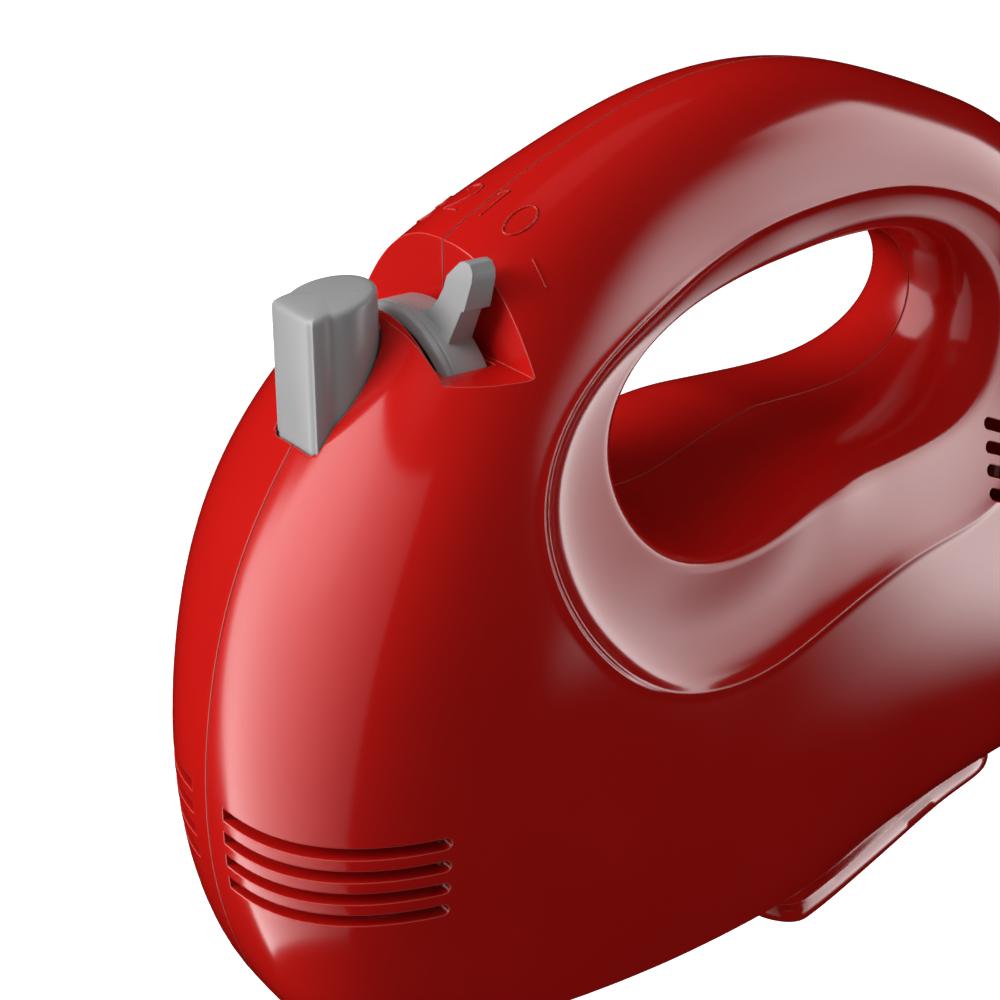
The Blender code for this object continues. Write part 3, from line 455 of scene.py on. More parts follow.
def rear_slot(side, number):
    """Slanted slot with round ends in the rear shoulder."""
    low_z = 81.0 + REAR_VENT_STEP * number
    half = 1.15
    start = (13.8 + 0.5 * number, low_z)
    end = (27.5 + 0.3 * number, low_z - 5.5)
    direction = Vector((end[0] - start[0], end[1] - start[1])).normalized()
    across = Vector((-direction[1], direction[0]))
    outline = []
    steps = 8
    for (cx, cz), sign in ((start, -1), (end, 1)):
        for k in range(steps + 1):
            turn = -math.pi / 2 + math.pi * k / steps
            offset = direction * (sign * math.cos(turn) * half) + across * (sign * math.sin(turn) * half)
            outline.append((cx + offset[0], cz + offset[1]))
    ys = sorted((side * 6.0, side * BEYOND))
    return prism("slot", outline, "Y", ys[0], ys[1])


def cavity(side):
    """Space inside one half, less the blocks and screw bosses that stand in it."""
    space = half_body("space", side, WALL, -side * 1.0, COARSE_AROUND, False)
    carve(space, block(side, (-110.6, -94.4), -2, (127.0, 170.0), 27.7))
    carve(space, block(side, (-128.4, -108.0), -2, (96.0, 170.0), 10.3))
    thick = block(side, (-165.0, -120.4), -2, (38.0, 61.0), BEYOND)
    carve(thick, half_body("inner", side, FRONT_WALL, -side * 3.0, COARSE_AROUND, False))
    carve(space, thick)
    ends = sorted((-side * 2.0, side * BEYOND))
    bosses = [rod("boss", "Y", xz, ends[0], ends[1], 3.7, 32) for xz in SCREW_PLACES]
    carve(space, join(bosses))
    return space


def smooth_normals(obj, reference, seam_side):
    """Gives the outer faces the normals of the uncut body, so that the cuts leave no shading marks."""
    mesh = obj.data
    soften(obj, 35)
    base = reference.data
    base.shade_smooth()
    tree = BVHTree.FromPolygons([v.co for v in base.vertices], [tuple(p.vertices) for p in base.polygons])
    normals = [v.normal.copy() for v in base.vertices]
    custom = [c.vector.copy() for c in mesh.corner_normals]
    known = {}
    for polygon in mesh.polygons:
        if polygon.material_index != 0:
            continue
        for loop in polygon.loop_indices:
            index = mesh.loops[loop].vertex_index
            if index not in known:
                point = mesh.vertices[index].co
                hit, hit_normal, face, distance = tree.find_nearest(point)
                total = Vector((0, 0, 0))
                for corner in base.polygons[face].vertices:
                    gap = (base.vertices[corner].co - hit).length
                    total += normals[corner] / (gap + 0.001)
                total = total.normalized()
                lean = seam_side * SEAM_RIDGE * math.exp(-(point.y / 4.0) ** 2)
                known[index] = Vector((total.x, total.y + lean, total.z)).normalized()
            if abs(polygon.normal.y) > 0.9999 and abs(polygon.center.y) < 0.2:
                continue
            custom[loop] = known[index]
    mesh.normals_split_custom_set(custom)


def housing_half(name, side):
    """One thin moulded half with its slots, button hole, lever recess and screw holes."""
    shell = half_body(name, side, 0.0, side * SEAM, AROUND, True)
    reference = half_body("reference", side, 0.0, -side * BEYOND / 2, AROUND, True)
    for surface in ("outside", "left by cutters"):
        shell.data.materials.append(None)
    carve(shell, mark_tool(cavity(side)))
    carve(shell, mark_tool(box("bottom", (-200, -60, -60), (120, 60, LOWER_EDGE_Z))))
    cuts = [front_slot(side, FRONT_VENT_Z - FRONT_VENT_STEP * k) for k in range(VENT_COUNT)]
    cuts += [rear_slot(side, k) for k in range(VENT_COUNT)]
    cuts.append(prism("button_hole", button_outline(0.4), "Z", 90, 170))
    cuts.append(box("recess", (RECESS_X[0], -RECESS_HALF_WIDTH, RECESS_FLOOR_Z),
                    (RECESS_X[1], RECESS_HALF_WIDTH, 170)))
    ledge = box("ledge", (RECESS_X[0] - 1.6, -RECESS_HALF_WIDTH, RECESS_FLOOR_Z),
                (RECESS_X[0] + 0.5, RECESS_HALF_WIDTH, 170))
    carve(ledge, rod("round_floor", "X", (0, LEVER_Z), -120, -100, DRUM_RADIUS - DRUM_GAP, 128))
    cuts.append(rod("inlet", "X", (0, CORD_Z), 50, 75, 5.0))
    for xz in SCREW_PLACES:
        if side > 0:
            profile = [(-2, 0), (-2, 1.7), (10, 1.7), (10, 3.2), (BEYOND, 3.2), (BEYOND, 0)]
            cuts.append(turned("clearance", profile, "Y", xz, 32))
    carve(shell, mark_tool(join(cuts)))
    carve(shell, mark_tool(ledge))
    carve(shell, mark_tool(rod("drum_space", "X", (0, LEVER_Z), DRUM_X[0] - DRUM_GAP, DRUM_X[1] + DRUM_GAP,
                               DRUM_RADIUS + DRUM_GAP, 128)))
    smooth_normals(shell, reference, side)
    bpy.data.objects.remove(reference, do_unlink=True)
    finish_piece(shell, "housing", RED_GLOSS, [name.replace("_shell", "")], keep_shading=True)
    return shell


# ---------------------------------------------------------------- button, lever and dial marks
def button_outline(margin):
    """Flat front towards the nose, sides that spread and bulge a little, and a round rear."""
    front = BUTTON_FRONT_X - margin
    half = BUTTON_FRONT_HALF_WIDTH + margin
    radius = BUTTON_RADIUS + margin
    right = []
    for k in range(25):
        turn = math.radians(120 - 5 * k)
        right.append((BUTTON_ROUND_X + radius * math.cos(turn), radius * math.sin(turn)))
    side = []
    start = Vector((front, half))
    end = Vector(right[0])
    for k in range(7):
        share = k / 7
        bulge = 0.25 * math.sin(math.pi * share)
        side.append((start[0] + (end[0] - start[0]) * share - bulge * 0.4,
                     start[1] + (end[1] - start[1]) * share + bulge))
    near = [(front, half - 1.6), (front + 0.12, half - 0.95), (front + 0.5, half - 0.4)] + side[1:] + right
    return near + [(x, -y) for x, y in reversed(near[:-1])]


def eject_button():
    """Button with rounded top edges and a slightly domed, sloping top. Each ring is (drop, shrink)."""
    outline = button_outline(0)
    middle = Vector((BUTTON_ROUND_X - 1.0, 0.0))

    def top(x):
        share = (x - BUTTON_FRONT_X) / (BUTTON_ROUND_X + BUTTON_RADIUS - BUTTON_FRONT_X)
        return BUTTON_TOP_Z[0] + (BUTTON_TOP_Z[1] - BUTTON_TOP_Z[0]) * share

    rings = []
    edge = ((47.0, 0.0), (20.0, 0.0), (1.2, 0.0), (0.75, 0.08), (0.4, 0.28), (0.15, 0.62), (0.0, 1.15))
    for drop, shrink in edge:
        ring = []
        for x, y in outline:
            away = (Vector((x, y)) - middle)
            length = away.length
            away = away / length
            px = x - away[0] * shrink
            ring.append((px, y - away[1] * shrink, 94.0 if drop > 40 else top(px) - drop))
        rings.append(ring)
    last = rings[-1]
    for share, lift in ((0.85, 0.10), (0.6, 0.25), (0.3, 0.36), (0.08, 0.4)):
        ring = []
        for x, y, z in last:
            px = middle[0] + (x - middle[0]) * share
            ring.append((px, y * share, top(px) + lift))
        rings.append(ring)
    button = lofted("eject_button_fine", rings)
    carve(button, box("flange", (-127.4, -9.6, 91.9), (-108.9, 9.6, 94.4)), "UNION")
    carve(button, rod("stem_hole", "Z", (BUTTON_ROUND_X, 0), 80, 100, 3.3))
    finish_piece(button, "ejector", GREY_PLASTIC, ["eject_button"], 33)


def lever_tab():
    """Finger tab: a stem and a wider head, both outlines of (sideways, out from the drum) points carried
    along the drum's axis. Its front leans back."""
    top = LEVER_Z + DRUM_RADIUS
    stem = [(4.4, -1.0), (4.7, 6.9), (-1.0, 6.9), (-1.3, 4.2), (-2.0, 2.2), (-3.1, 0.7), (-4.6, -0.6),
            (-4.8, -1.0)]
    head = [(4.7, 6.2), (5.2, 6.6), (4.5, 12.0), (3.9, 13.3), (2.7, 14.0), (1.4, 13.7), (0.4, 12.9),
            (-1.3, 9.0), (-1.0, 6.2)]
    tab = prism("tab", [(-a, top + b) for a, b in stem], "X", -103.8, -99.2)
    upper = prism("head", [(-a, top + b) for a, b in head], "X", -103.8, -98.0)
    for piece in (tab, upper):
        for vertex in piece.data.vertices:
            if vertex.co.x < -102.0:
                vertex.co.x += 1.5 * max(0.0, vertex.co.z - top) / 14.0
    carve(tab, upper, "UNION")
    round_edges(tab, 0.4, 3, 30)
    return tab


def speed_lever():
    """Drum with a rounded bead at its front edge, closed by a disc at the rear, and the finger tab on it."""
    steps = 72
    profile = [(DRUM_X[0], -2.4), (DRUM_X[0], -0.7), (DRUM_X[0] + 0.25, -0.2), (DRUM_X[0] + 0.8, 0.0),
               (DRUM_X[0] + 1.15, -0.04), (DRUM_X[0] + 1.3, -0.3), (DRUM_X[0] + 1.5, -0.3),
               (DRUM_X[0] + 1.65, -0.04), (DRUM_X[1] - 0.7, 0.0), (DRUM_X[1] - 0.2, -0.2), (DRUM_X[1], -0.7),
               (DRUM_X[1], -2.4)]
    rings = []
    for k in range(steps + 1):
        turn = math.radians(-92 + 184 * k / steps)
        rings.append([(x, (DRUM_RADIUS + r) * math.sin(turn), LEVER_Z + (DRUM_RADIUS + r) * math.cos(turn))
                      for x, r in profile])
    drum = lofted("speed_lever_fine", rings)
    outline = []
    for angle in range(-91, 92, 7):
        turn = math.radians(angle)
        outline.append((DRUM_RADIUS * 0.95 * math.sin(turn), LEVER_Z + DRUM_RADIUS * 0.95 * math.cos(turn)))
    carve(drum, prism("disc", outline, "X", DRUM_X[1] - 2.0, DRUM_X[1] - 0.1), "UNION")
    carve(drum, rod("hub", "X", (0, LEVER_Z), DRUM_X[0] + 0.5, DRUM_X[1] - 0.4, 4.6, 32), "UNION")
    carve(drum, lever_tab(), "UNION")
    carve(drum, rod("pin_hole", "X", (0, LEVER_Z), -120, -80, 2.3, 24))
    drum.data.transform(Matrix.Translation((0, 0, -LEVER_Z)))
    drum.data.transform(Matrix.Rotation(math.radians(LEVER_REST_DEG), 4, "X"))
    drum.data.transform(Matrix.Translation((0, 0, LEVER_Z)))
    finish_piece(drum, "speed_lever", GREY_PLASTIC, ["speed_lever"], 32)


# ---------------------------------------------------------------- underside
def lower_outline(z, inset, low_x, high_x, count):
    """Plan outline of the body at a height, left side from front to back, then the right side back."""
    left = []
    for k in range(count + 1):
        share = k / count
        x = low_x + (high_x - low_x) * (0.5 - 0.5 * math.cos(math.pi * share))
        width = side_half_width(x, z, inset)
        if width > 1.5:
            left.append((x, -width))
    return left + [(x, -y) for x, y in reversed(left)]


def base_cover():
    """Underside plate with the keel. Each keel level is (height, how far it is drawn in)."""
    levels = [(KEEL_TOP_Z, 0.0), (8.3, 0.35), (5.2, 1.3), (4.6, 1.35), (3.6, 0.3), (1.6, 0.1), (0.8, 0.3),
              (0.25, 0.9), (0.0, 1.8)]
    outline = []
    for x, y in lower_outline(LOWER_EDGE_Z, 0.4, KEEL_FRONT_X, KEEL_BACK_X, 64):
        inside = min(1.0, (x - KEEL_FRONT_X) / KEEL_CORNER)
        cut = KEEL_CORNER * (1 - math.sqrt(1 - (1 - inside) ** 2))
        outline.append((x, y + cut if y < 0 else y - cut))
    centre_x = (KEEL_FRONT_X + KEEL_BACK_X) / 2
    rings = []
    for z, shrink in levels:
        ring = []
        for x, y in outline:
            along = shrink * (0.4 + 0.6 * smooth_step(x, KEEL_FRONT_X, KEEL_FRONT_X + 10.0))
            prow = (1.0 - smooth_step(x, KEEL_FRONT_X, KEEL_FRONT_X + 12.0)) * (KEEL_TOP_Z - z) * 0.315
            away = Vector((x - centre_x, y * 1.6)).normalized()
            ring.append((x - away[0] * along + prow, y - away[1] * shrink, z))
        rings.append(ring)
    cover = lofted("base_cover_fine", rings)
    plate = lower_outline(LOWER_EDGE_Z, 4.1, -130.0, 48.0, 40)
    neck = lower_outline(LOWER_EDGE_Z, 4.7, -40.0, 42.0, 24)
    carve(cover, prism("neck", neck, "Z", 8.0, 10.5), "UNION")
    carve(cover, prism("plate", plate, "Z", LOWER_EDGE_Z, COVER_TOP_Z), "UNION")
    rear_hole = [(-2, 0), (-2, 3.4), (5, 3.4), (5, 1.8), (15, 1.8), (15, 0)]
    cuts = [rod("socket_hole", "Z", (SPINDLE_X, side * SPINDLE_Y), 5, 15, 6.6) for side in (-1, 1)]
    for side in (-1, 1):
        cuts.append(rod("front_screw_hole", "Z", (BASE_SCREW_X[0], side * BASE_SCREW_Y[0]), 5, 15, 1.8, 24))
        cuts.append(turned("rear_screw_hole", rear_hole, "Z", (BASE_SCREW_X[1], side * BASE_SCREW_Y[1]), 24))
    carve(cover, join(cuts))
    finish_piece(cover, "housing", RED_GLOSS, ["base_cover"], 40)


# ---------------------------------------------------------------- materials
# The colour sockets of a Mix node share their names, so they are picked by number.
MIX_FACTOR = 0
MIX_COLOUR_A = 6
MIX_COLOUR_B = 7
MIX_COLOUR_RESULT = 2


def node(tree, kind, **inputs):
    """A new node with its inputs set, underscores standing for spaces."""
    made = tree.nodes.new(kind)
    for key, value in inputs.items():
        made.inputs[key.replace("_", " ")].default_value = value
    return made


def plain_material(name):
    """A new material with its node tree and its shader."""
    material = bpy.data.materials.new(name)
    material.use_nodes = True
    tree = material.node_tree
    return material, tree, tree.nodes["Principled BSDF"]


def varied(tree, shader, coords, colour, spread, scale, detail=4.0):
    """Base colour that drifts a little between two tones."""
    noise = node(tree, "ShaderNodeTexNoise", Scale=scale, Detail=detail)
    tree.links.new(coords.outputs["Object"], noise.inputs["Vector"])
    ramp = tree.nodes.new("ShaderNodeValToRGB")
    ramp.color_ramp.elements[0].position = 0.3
    ramp.color_ramp.elements[1].position = 0.7
    ramp.color_ramp.elements[0].color = (*[c * (1 - spread) for c in colour], 1)
    ramp.color_ramp.elements[1].color = (*[min(1.0, c * (1 + spread)) for c in colour], 1)
    tree.links.new(noise.outputs["Fac"], ramp.inputs["Fac"])
    tree.links.new(ramp.outputs["Color"], shader.inputs["Base Color"])


def rough_range(tree, shader, coords, low, high, scale):
    """Roughness that drifts between two values."""
    noise = node(tree, "ShaderNodeTexNoise", Scale=scale, Detail=3.0)
    tree.links.new(coords.outputs["Object"], noise.inputs["Vector"])
    spread = node(tree, "ShaderNodeMapRange", From_Min=0.3, From_Max=0.7, To_Min=low, To_Max=high)
    tree.links.new(noise.outputs["Fac"], spread.inputs["Value"])
    tree.links.new(spread.outputs["Result"], shader.inputs["Roughness"])


def grain(tree, shader, coords, scale, strength, distance, edge=None):
    """Fine surface grain as a bump. edge is the radius of softly rounded edges, in metres."""
    noise = node(tree, "ShaderNodeTexNoise", Scale=scale, Detail=2.0)
    tree.links.new(coords.outputs["Object"], noise.inputs["Vector"])
    bump = node(tree, "ShaderNodeBump", Strength=strength, Distance=distance)
    tree.links.new(noise.outputs["Fac"], bump.inputs["Height"])
    if edge:
        bevel = node(tree, "ShaderNodeBevel", Radius=edge)
        bevel.samples = 6
        tree.links.new(bevel.outputs["Normal"], bump.inputs["Normal"])
    tree.links.new(bump.outputs["Normal"], shader.inputs["Normal"])


def painted_edge_highlight(tree, shader, radius, tone):
    """Painted highlight: a paler tone mixed into the base colour along edges and inner corners, where the
    bevel normal turns away from the surface normal.
    """
    bevel = node(tree, "ShaderNodeBevel", Radius=radius * 0.7)
    bevel.samples = 6
    geometry = tree.nodes.new("ShaderNodeNewGeometry")
    compare = tree.nodes.new("ShaderNodeVectorMath")
    compare.operation = "DOT_PRODUCT"
    tree.links.new(bevel.outputs["Normal"], compare.inputs[0])
    tree.links.new(geometry.outputs["Normal"], compare.inputs[1])
    amount = node(tree, "ShaderNodeMapRange", From_Min=0.985, From_Max=0.90, To_Min=0.0, To_Max=0.75)
    tree.links.new(compare.outputs["Value"], amount.inputs["Value"])
    mix = tree.nodes.new("ShaderNodeMix")
    mix.data_type = "RGBA"
    mix.inputs[MIX_COLOUR_B].default_value = (*tone, 1)
    tree.links.new(amount.outputs["Result"], mix.inputs[MIX_FACTOR])
    tree.links.new(shader.inputs["Base Color"].links[0].from_socket, mix.inputs[MIX_COLOUR_A])
    tree.links.new(mix.outputs[MIX_COLOUR_RESULT], shader.inputs["Base Color"])


def make_material(name, colour, roughness, metallic=0.0, spread=0.04, scale=40.0,
                  bump=(900.0, 0.05, 0.00005), edge=None, edge_highlight_tone=None):
    """Colour, roughness and grain that all vary a little, with a painted highlight tone along the edges when
    one is given. bump is (scale, strength, distance).
    """
    material, tree, shader = plain_material(name)
    coords = tree.nodes.new("ShaderNodeTexCoord")
    shader.inputs["Metallic"].default_value = metallic
    varied(tree, shader, coords, colour, spread, scale)
    rough_range(tree, shader, coords, roughness * 0.85, roughness * 1.2, scale * 1.7)
    grain(tree, shader, coords, bump[0], bump[1], bump[2], edge)
    # The edge tone is a painted highlight: a paler colour mixed in along edges and inner corners.
    if edge_highlight_tone:
        painted_edge_highlight(tree, shader, edge, edge_highlight_tone)
    return material


# The red's pale edge tone is a painted highlight along moulded edges, slot rims and inner corners.
RED_GLOSS = make_material("red_gloss", (0.50, 0.0075, 0.0055), 0.13, spread=0.05, scale=18.0,
                          bump=(420.0, 0.035, 0.00006), edge=0.0004, edge_highlight_tone=(0.80, 0.16, 0.13))
GREY_PLASTIC = make_material("grey_plastic", (0.33, 0.33, 0.335), 0.32, spread=0.04, scale=60.0,
                             bump=(2200.0, 0.10, 0.00005), edge=0.0004)
STEEL = make_material("polished_steel", (0.66, 0.66, 0.67), 0.16, 1.0, 0.06, 90.0, (1500.0, 0.05, 0.00003))
LAMINATION = make_material("lamination_steel", (0.26, 0.27, 0.30), 0.42, 1.0, 0.2, 120.0,
                           (800.0, 0.2, 0.0001))
COPPER = make_material("copper_winding", (0.62, 0.22, 0.075), 0.30, 1.0, 0.25, 200.0, (1600.0, 0.5, 0.0002))
COMMUTATOR = make_material("commutator_copper", (0.72, 0.34, 0.17), 0.28, 1.0, 0.12, 200.0)
BRONZE = make_material("sintered_bronze", (0.50, 0.35, 0.16), 0.40, 1.0, 0.15, 300.0, (2500.0, 0.3, 0.0001))
CARBON = make_material("carbon_block", (0.03, 0.03, 0.03), 0.7, 0.0, 0.3, 300.0, (2500.0, 0.4, 0.0001))
NYLON = make_material("white_nylon", (0.78, 0.76, 0.68), 0.42, 0.0, 0.04, 90.0)
BLACK = make_material("black_frame", (0.028, 0.028, 0.032), 0.48, 0.0, 0.2, 90.0, (1800.0, 0.2, 0.0001))
FAN = make_material("fan_plastic", (0.09, 0.15, 0.28), 0.45, 0.0, 0.1, 90.0)
YELLOW = make_material("capacitor_yellow", (0.72, 0.50, 0.07), 0.40, 0.0, 0.06, 90.0)
RUBBER = make_material("rubber", (0.035, 0.035, 0.037), 0.55, 0.0, 0.15, 120.0, (1800.0, 0.3, 0.0001))

SLOT_MATERIAL = {
    "housing_red": RED_GLOSS, "control_grey": GREY_PLASTIC, "steel": STEEL, "lamination": LAMINATION,
    "copper_wire": COPPER, "commutator_copper": COMMUTATOR, "bronze": BRONZE, "carbon": CARBON,
    "gear_nylon": NYLON, "frame_black": BLACK, "fan_plastic": FAN, "capacitor_yellow": YELLOW,
    "cable_rubber": RUBBER,
}


def dress_nodes():
    """Gives the carried-over inner pieces their detailed materials."""
    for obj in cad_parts.values():
        for i, old in enumerate(obj.data.materials):
            name = old.name.split(".")[0] if old else ""
            if name in SLOT_MATERIAL:
                obj.data.materials[i] = SLOT_MATERIAL[name]


# ---------------------------------------------------------------- beaters, screws, sleeve, spring
def wire_points(turn_deg, steps=40):
    """Line of one beater wire from the shaft out to the widest place and back to the bottom end."""
    top = -27.0
    bottom = BEATER_END_Z + 2.5
    points = []
    turn = math.radians(turn_deg)
    for i in range(steps + 1):
        share = i / steps
        bulge = math.sin(math.pi * share ** 1.15) ** 0.62 if 0 < share < 1 else 0.0
        radius = 1.4 + (24.0 - 1.5 - 1.2) * bulge
        points.append((radius * math.cos(turn), radius * math.sin(turn), top + (bottom - top) * share))
    return points


def flat_wire(turn_deg, centre):
    """Flat strip with rounded edges along the beater's wire line."""
    turn = math.radians(turn_deg)
    tangent = Vector((-math.sin(turn), math.cos(turn), 0))
    points = [Vector(p) for p in wire_points(turn_deg)]
    shape = []
    for k in range(12):
        angle = 2 * math.pi * k / 12
        wide = 1.3 * math.copysign(abs(math.cos(angle)) ** 0.6, math.cos(angle))
        thick = 0.75 * math.copysign(abs(math.sin(angle)) ** 0.8, math.sin(angle))
        shape.append((wide, thick))
    rings = []
    for i, point in enumerate(points):
        ahead = (points[min(i + 1, len(points) - 1)] - points[max(i - 1, 0)]).normalized()
        out = tangent.cross(ahead).normalized()
        rings.append([point + tangent * a + out * b + Vector((centre[0], centre[1], 0)) for a, b in shape])
    return lofted("wire", rings)


def beater(side, word, turn_deg):
    """Shaft with a foot, a collar and a catch groove, and four flat wires."""
    centre = (SPINDLE_X, side * SPINDLE_Y)
    profile = [(BEATER_END_Z, 0), (BEATER_END_Z, 2.6), (-96.6, 3.2), (-95.8, 3.4), (-93.6, 3.4), (-92.8, 3.0),
               (-92.0, 2.2), (-24, 2.2), (-22.6, 2.8), (-22, 2.9), (1, 2.9), (1, 4.8), (1.4, 5.2), (6.0, 5.2),
               (6.5, 5.0), (8, 2.9), (38.0, 2.9), (38.4, 2.5), (39.6, 2.5), (40.0, 2.9), (44.5, 2.9),
               (45.6, 2.3), (46.0, 1.8), (46.0, 0)]
    pieces = [turned("beater_%s_fine" % word, profile, "Z", centre, 32)]
    pieces += [flat_wire(turn_deg + 90 * k, centre) for k in range(4)]
    piece = join(pieces)
    finish_piece(piece, "beater_" + word, STEEL, ["beater_" + word], 40)


def screw_head(name, centre, axis, top, sign, nodes):
    """Pan head with a cross recess, on its shank."""
    length = 22.0 if axis == "Y" else 13.0
    depths = [(length, 0), (length - 1.0, 1.3), (2.0, 1.3), (2.0, 2.7), (0.8, 2.7), (0.25, 2.3), (0, 1.4),
              (0, 0)]
    profile = [(top - sign * depth, radius) for depth, radius in depths]
    screw = turned(name, profile, axis, centre, 24)
    cross = []
    for turn in (0, 90):
        if axis == "Y":
            bar = box("bar", (-2.0, -0.9, -0.3), (2.0, 0.9, 0.3))
            bar.data.transform(Matrix.Rotation(math.radians(turn + 20), 4, "Y"))
            bar.data.transform(Matrix.Translation((centre[0], top, centre[1])))
        else:
            bar = box("bar", (-2.0, -0.3, -0.9), (2.0, 0.3, 0.9))
            bar.data.transform(Matrix.Rotation(math.radians(turn + 20), 4, "Z"))
            bar.data.transform(Matrix.Translation((centre[0], centre[1], top)))
        cross.append(bar)
    for bar in cross:
        carve(screw, bar)
    finish_piece(screw, "housing", STEEL, nodes, 35)


def screws():
    for number, xz in enumerate(SCREW_PLACES, 1):
        node_name = "housing_screw_%d" % number
        screw_head("housing_screw_fine_%d" % number, xz, "Y", SCREW_HEAD_Y + 2.0, 1, [node_name])
    number = 0
    for x, y, head in zip(BASE_SCREW_X, BASE_SCREW_Y, BASE_SCREW_HEAD_Z):
        for side in (-1, 1):
            number += 1
            node_name = "base_screw_%d" % number
            screw_head("base_screw_fine_%d" % number, (x, side * y), "Z", head, -1, [node_name])


def cord_sleeve():
    """Strain relief with ribs."""
    profile = [(53.5, 3.1), (53.5, 7.2), (53.8, 7.4), (56.0, 7.4), (56.3, 7.1), (56.3, 4.7), (63.4, 4.7),
               (63.4, 6.0), (63.7, 6.2), (65.4, 6.2), (65.9, 5.6)]
    x = 66.6
    while x < 82.0:
        radius = 5.3 - (x - 66.6) * 0.065
        profile += [(x, radius), (x + 1.3, radius - 0.08), (x + 1.4, radius - 1.0), (x + 2.1, radius - 1.03),
                    (x + 2.2, radius - 0.14)]
        x += 2.25
    profile += [(83.6, 4.1), (84.0, 3.7), (84.0, 3.1)]
    sleeve = turned("cord_sleeve_fine", profile, "X", (0, CORD_Z), 48)
    finish_piece(sleeve, "housing", RUBBER, ["cord_sleeve"], 50)


def eject_spring():
    """Coil spring under the fork."""
    points = []
    turns = 6.0
    count = 168
    for i in range(count + 1):
        turn = 2 * math.pi * turns * i / count
        points.append((-115.5 + 4.0 * math.cos(turn), 4.0 * math.sin(turn), 57.75 + 12.5 * i / count))
    spring = tube("eject_spring_fine", points, 0.42, 8)
    finish_piece(spring, "housing", STEEL, ["eject_spring"], 60)
    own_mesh(spring)


# ---------------------------------------------------------------- dial marks
def top_point(x, y, lift):
    """Point of the body's top surface above (x, y), raised a little."""
    low, high = OPENING_Z + 5.0, OPENING_Z + 60.0
    for step in range(40):
        middle = (low + high) / 2
        if side_half_width(x, middle) > abs(y):
            low = middle
        else:
            high = middle
    return Vector((x, y, low + lift))


def ring_stroke():
    """The outline of a zero."""
    turns = [math.radians(angle) for angle in range(0, 361, 20)]
    return [(math.cos(turn) * 0.42 + 0.5, math.sin(turn) * 0.5 + 0.5) for turn in turns]


# Each mark is one stroke in a square from (0, 0) to (1, 1).
MARKS = {
    "bar": [(0.1, 0.5), (0.9, 0.5)],
    "0": ring_stroke(),
    "1": [(0.25, 0.75), (0.55, 1.0), (0.55, 0.0)],
    "2": [(0.1, 0.75), (0.2, 0.92), (0.5, 1.0), (0.8, 0.9), (0.88, 0.7), (0.75, 0.5), (0.1, 0.0), (0.9, 0.0)],
    "3": [(0.1, 0.9), (0.5, 1.0), (0.85, 0.85), (0.85, 0.62), (0.45, 0.52), (0.88, 0.42), (0.9, 0.15),
          (0.5, 0.0), (0.08, 0.1)],
}
MARK_LENGTH = 6.4
MARK_WIDTH = 4.6
MARK_PLACES = [("bar", -89.5, -17.0), ("0", -87.5, -9.0), ("1", -87.5, -1.8), ("2", -88.0, 5.8),
               ("3", -89.5, 12.6)]


def dial_marks():
    """Raised fine outlines of the speed numbers behind the lever, read from the rear."""
    pieces = []
    for mark, x, y in MARK_PLACES:
        stroke = MARKS[mark]
        path = []
        for (a, b), (c, d) in zip(stroke, stroke[1:]):
            for k in range(4):
                path.append((a + (c - a) * k / 4, b + (d - b) * k / 4))
        path.append(stroke[-1])
        points = [top_point(x + (b - 0.5) * MARK_LENGTH, y - (a - 0.5) * MARK_WIDTH, 0.05) for a, b in path]
        pieces.append(tube("mark", points, 0.2, 6))
    marks = join(pieces, "dial_marks")
    finish_piece(marks, "housing", RED_GLOSS, [], 60)


# ---------------------------------------------------------------- stage
MIDDLE = Vector((-0.06, 0.0, 0.08))     # metres


def direction_to(azimuth, elevation):
    """Unit direction from angles in degrees."""
    azimuth = math.radians(azimuth)
    elevation = math.radians(elevation)
    return Vector((math.cos(elevation) * math.cos(azimuth), math.cos(elevation) * math.sin(azimuth),
                   math.sin(elevation)))


def softbox(name, azimuths, elevations, glow, distance=5.0, steps=24):
    """Curved softbox that shows only in reflections. glow gives its brightness across and up, each 0 to 1."""
    verts = []
    levels = []
    for i in range(steps + 1):
        for j in range(steps + 1):
            azimuth = azimuths[0] + (azimuths[1] - azimuths[0]) * i / steps
            elevation = elevations[0] + (elevations[1] - elevations[0]) * j / steps
            verts.append(MIDDLE + direction_to(azimuth, elevation) * distance)
            levels.append(glow(i / steps, j / steps))
    faces = []
    for i in range(steps):
        for j in range(steps):
            a = i * (steps + 1) + j
            faces.append((a, a + 1, a + steps + 2, a + steps + 1))
    obj = new_object(name, verts, faces)
    layer = obj.data.color_attributes.new("glow", "FLOAT_COLOR", "POINT")
    for item, level in zip(layer.data, levels):
        item.color = (level, level, level, 1)
    material = bpy.data.materials.new(name)
    material.use_nodes = True
    tree = material.node_tree
    tree.nodes.clear()
    out = tree.nodes.new("ShaderNodeOutputMaterial")
    emission = tree.nodes.new("ShaderNodeEmission")
    attribute = tree.nodes.new("ShaderNodeAttribute")
    attribute.attribute_name = "glow"
    tree.links.new(attribute.outputs["Color"], emission.inputs["Color"])
    tree.links.new(emission.outputs["Emission"], out.inputs["Surface"])
    obj.data.materials.append(material)
    obj.visible_camera = False
    obj.visible_diffuse = False
    obj.visible_shadow = False


def lamp(name, azimuth, elevation, size, power, distance=1.6):
    """Soft disk light that doesn't show in reflections."""
    light = bpy.data.lights.new(name, "AREA")
    light.shape = "DISK"
    light.size = size
    light.energy = power
    obj = bpy.data.objects.new(name, light)
    bpy.context.scene.collection.objects.link(obj)
    direction = direction_to(azimuth, elevation)
    obj.location = MIDDLE + direction * distance
    obj.rotation_euler = (-direction).to_track_quat("-Z", "Y").to_euler()
    obj.visible_camera = False
    obj.visible_glossy = False


def nose_glow(across, up):
    """Brightest on the far side, so the nose fades towards the near side."""
    return 0.45 + 3.9 * (1 - across) ** 1.3


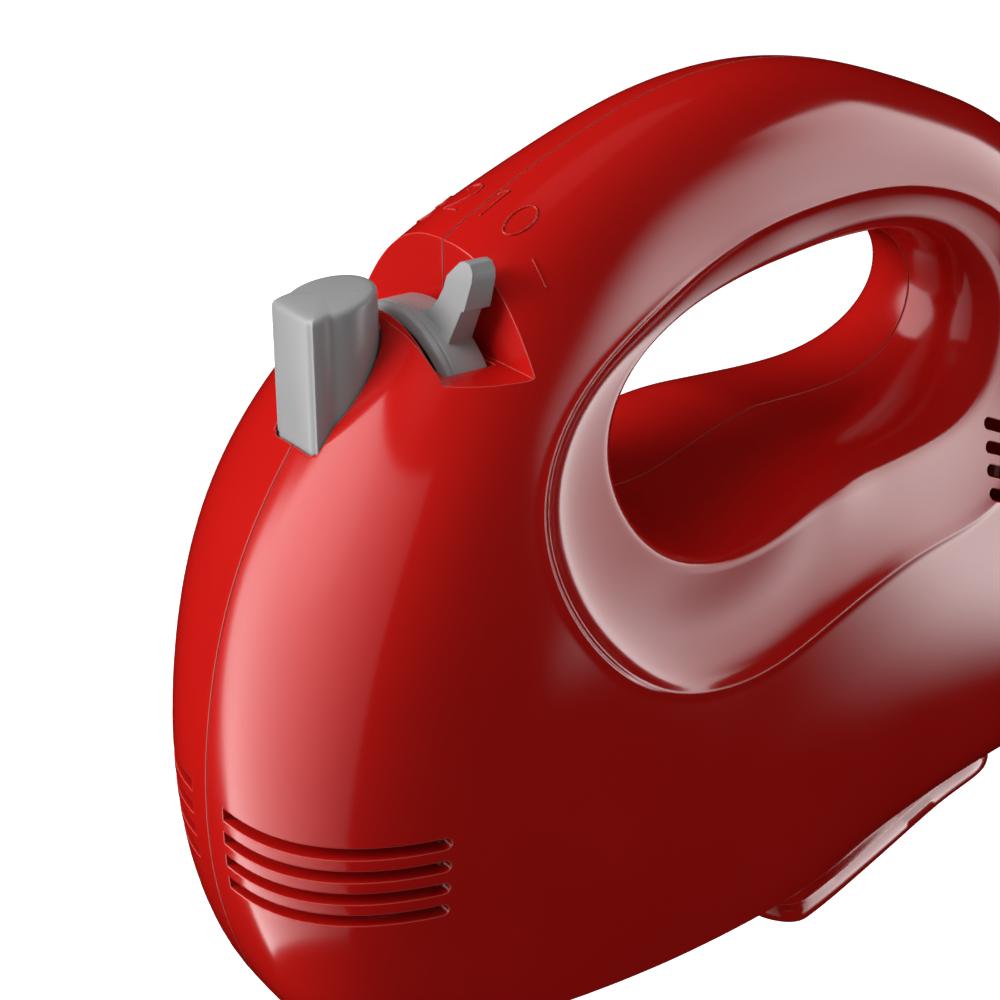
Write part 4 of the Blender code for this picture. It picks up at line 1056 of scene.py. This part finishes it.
def side_glow(across, up):
    """Brighter towards the rear, with soft left and bottom edges and a dimmer upper left corner."""
    upper = smooth_step(up, 0.55, 0.95) * (1 - 0.75 * smooth_step(across, 0.25, 0.6))
    edges = smooth_step(up, 0.0, 0.2) * smooth_step(across, 0.0, 0.18)
    return (2.6 + 4.5 * across ** 1.5) * edges * (1 - upper)


def top_glow(across, up):
    return 0.15


def floor():
    """Plain white floor, just below the beaters when they are pushed down."""
    reach = 30
    corners = [(-reach, -reach, 0), (reach, -reach, 0), (reach, reach, 0), (-reach, reach, 0)]
    obj = new_object("floor", corners, [(0, 1, 2, 3)])
    obj.location = (0, 0, -0.1065)
    material, tree, shader = plain_material("floor_white")
    shader.inputs["Base Color"].default_value = (0.85, 0.85, 0.85, 1)
    shader.inputs["Roughness"].default_value = 0.9
    shader.inputs["Emission Color"].default_value = (1, 1, 1, 1)
    shader.inputs["Emission Strength"].default_value = 0.8
    obj.data.materials.append(material)
    obj.visible_glossy = False
    obj.visible_diffuse = False


def stage():
    """Floor, dim white surroundings, two lamps for the surface and three softboxes for the reflections."""
    floor()
    world = bpy.data.worlds.new("world")
    world.use_nodes = True
    world.node_tree.nodes["Background"].inputs["Color"].default_value = (1, 1, 1, 1)
    world.node_tree.nodes["Background"].inputs["Strength"].default_value = 0.34
    world.cycles_visibility.glossy = False
    bpy.context.scene.world = world
    lamp("key", 160, 22, 0.9, 24)
    lamp("top", 175, 64, 0.9, 6.5)
    softbox("nose_softbox", (132, 223), (-52, 42), nose_glow)
    softbox("side_softbox", (-62, -16), (-31, 29), side_glow)
    softbox("top_softbox", (30, 90), (60, 85), top_glow)


def camera():
    """Three-quarter view from the front left and above. Places are in metres."""
    data = bpy.data.cameras.new("camera")
    obj = bpy.data.objects.new("camera", data)
    bpy.context.scene.collection.objects.link(obj)
    data.lens = 71.96
    data.sensor_width = 36.0
    data.clip_start = 0.01
    data.clip_end = 20.0
    obj.location = (-0.27289, -0.26205, 0.24355)
    obj.rotation_euler = Vector((0.5295, 0.7388, -0.4169)).to_track_quat("-Z", "Y").to_euler()
    bpy.context.scene.camera = obj


make_guides()
dress_nodes()
housing_half("housing_left_shell", -1)
housing_half("housing_right_shell", 1)
base_cover()
eject_button()
speed_lever()
for side, word, turn_deg in ((-1, "left", 0.0), (1, "right", 45.0)):
    beater(side, word, turn_deg)
screws()
cord_sleeve()
eject_spring()
dial_marks()
stage()
camera()
bpy.context.scene.view_settings.view_transform = "Standard"
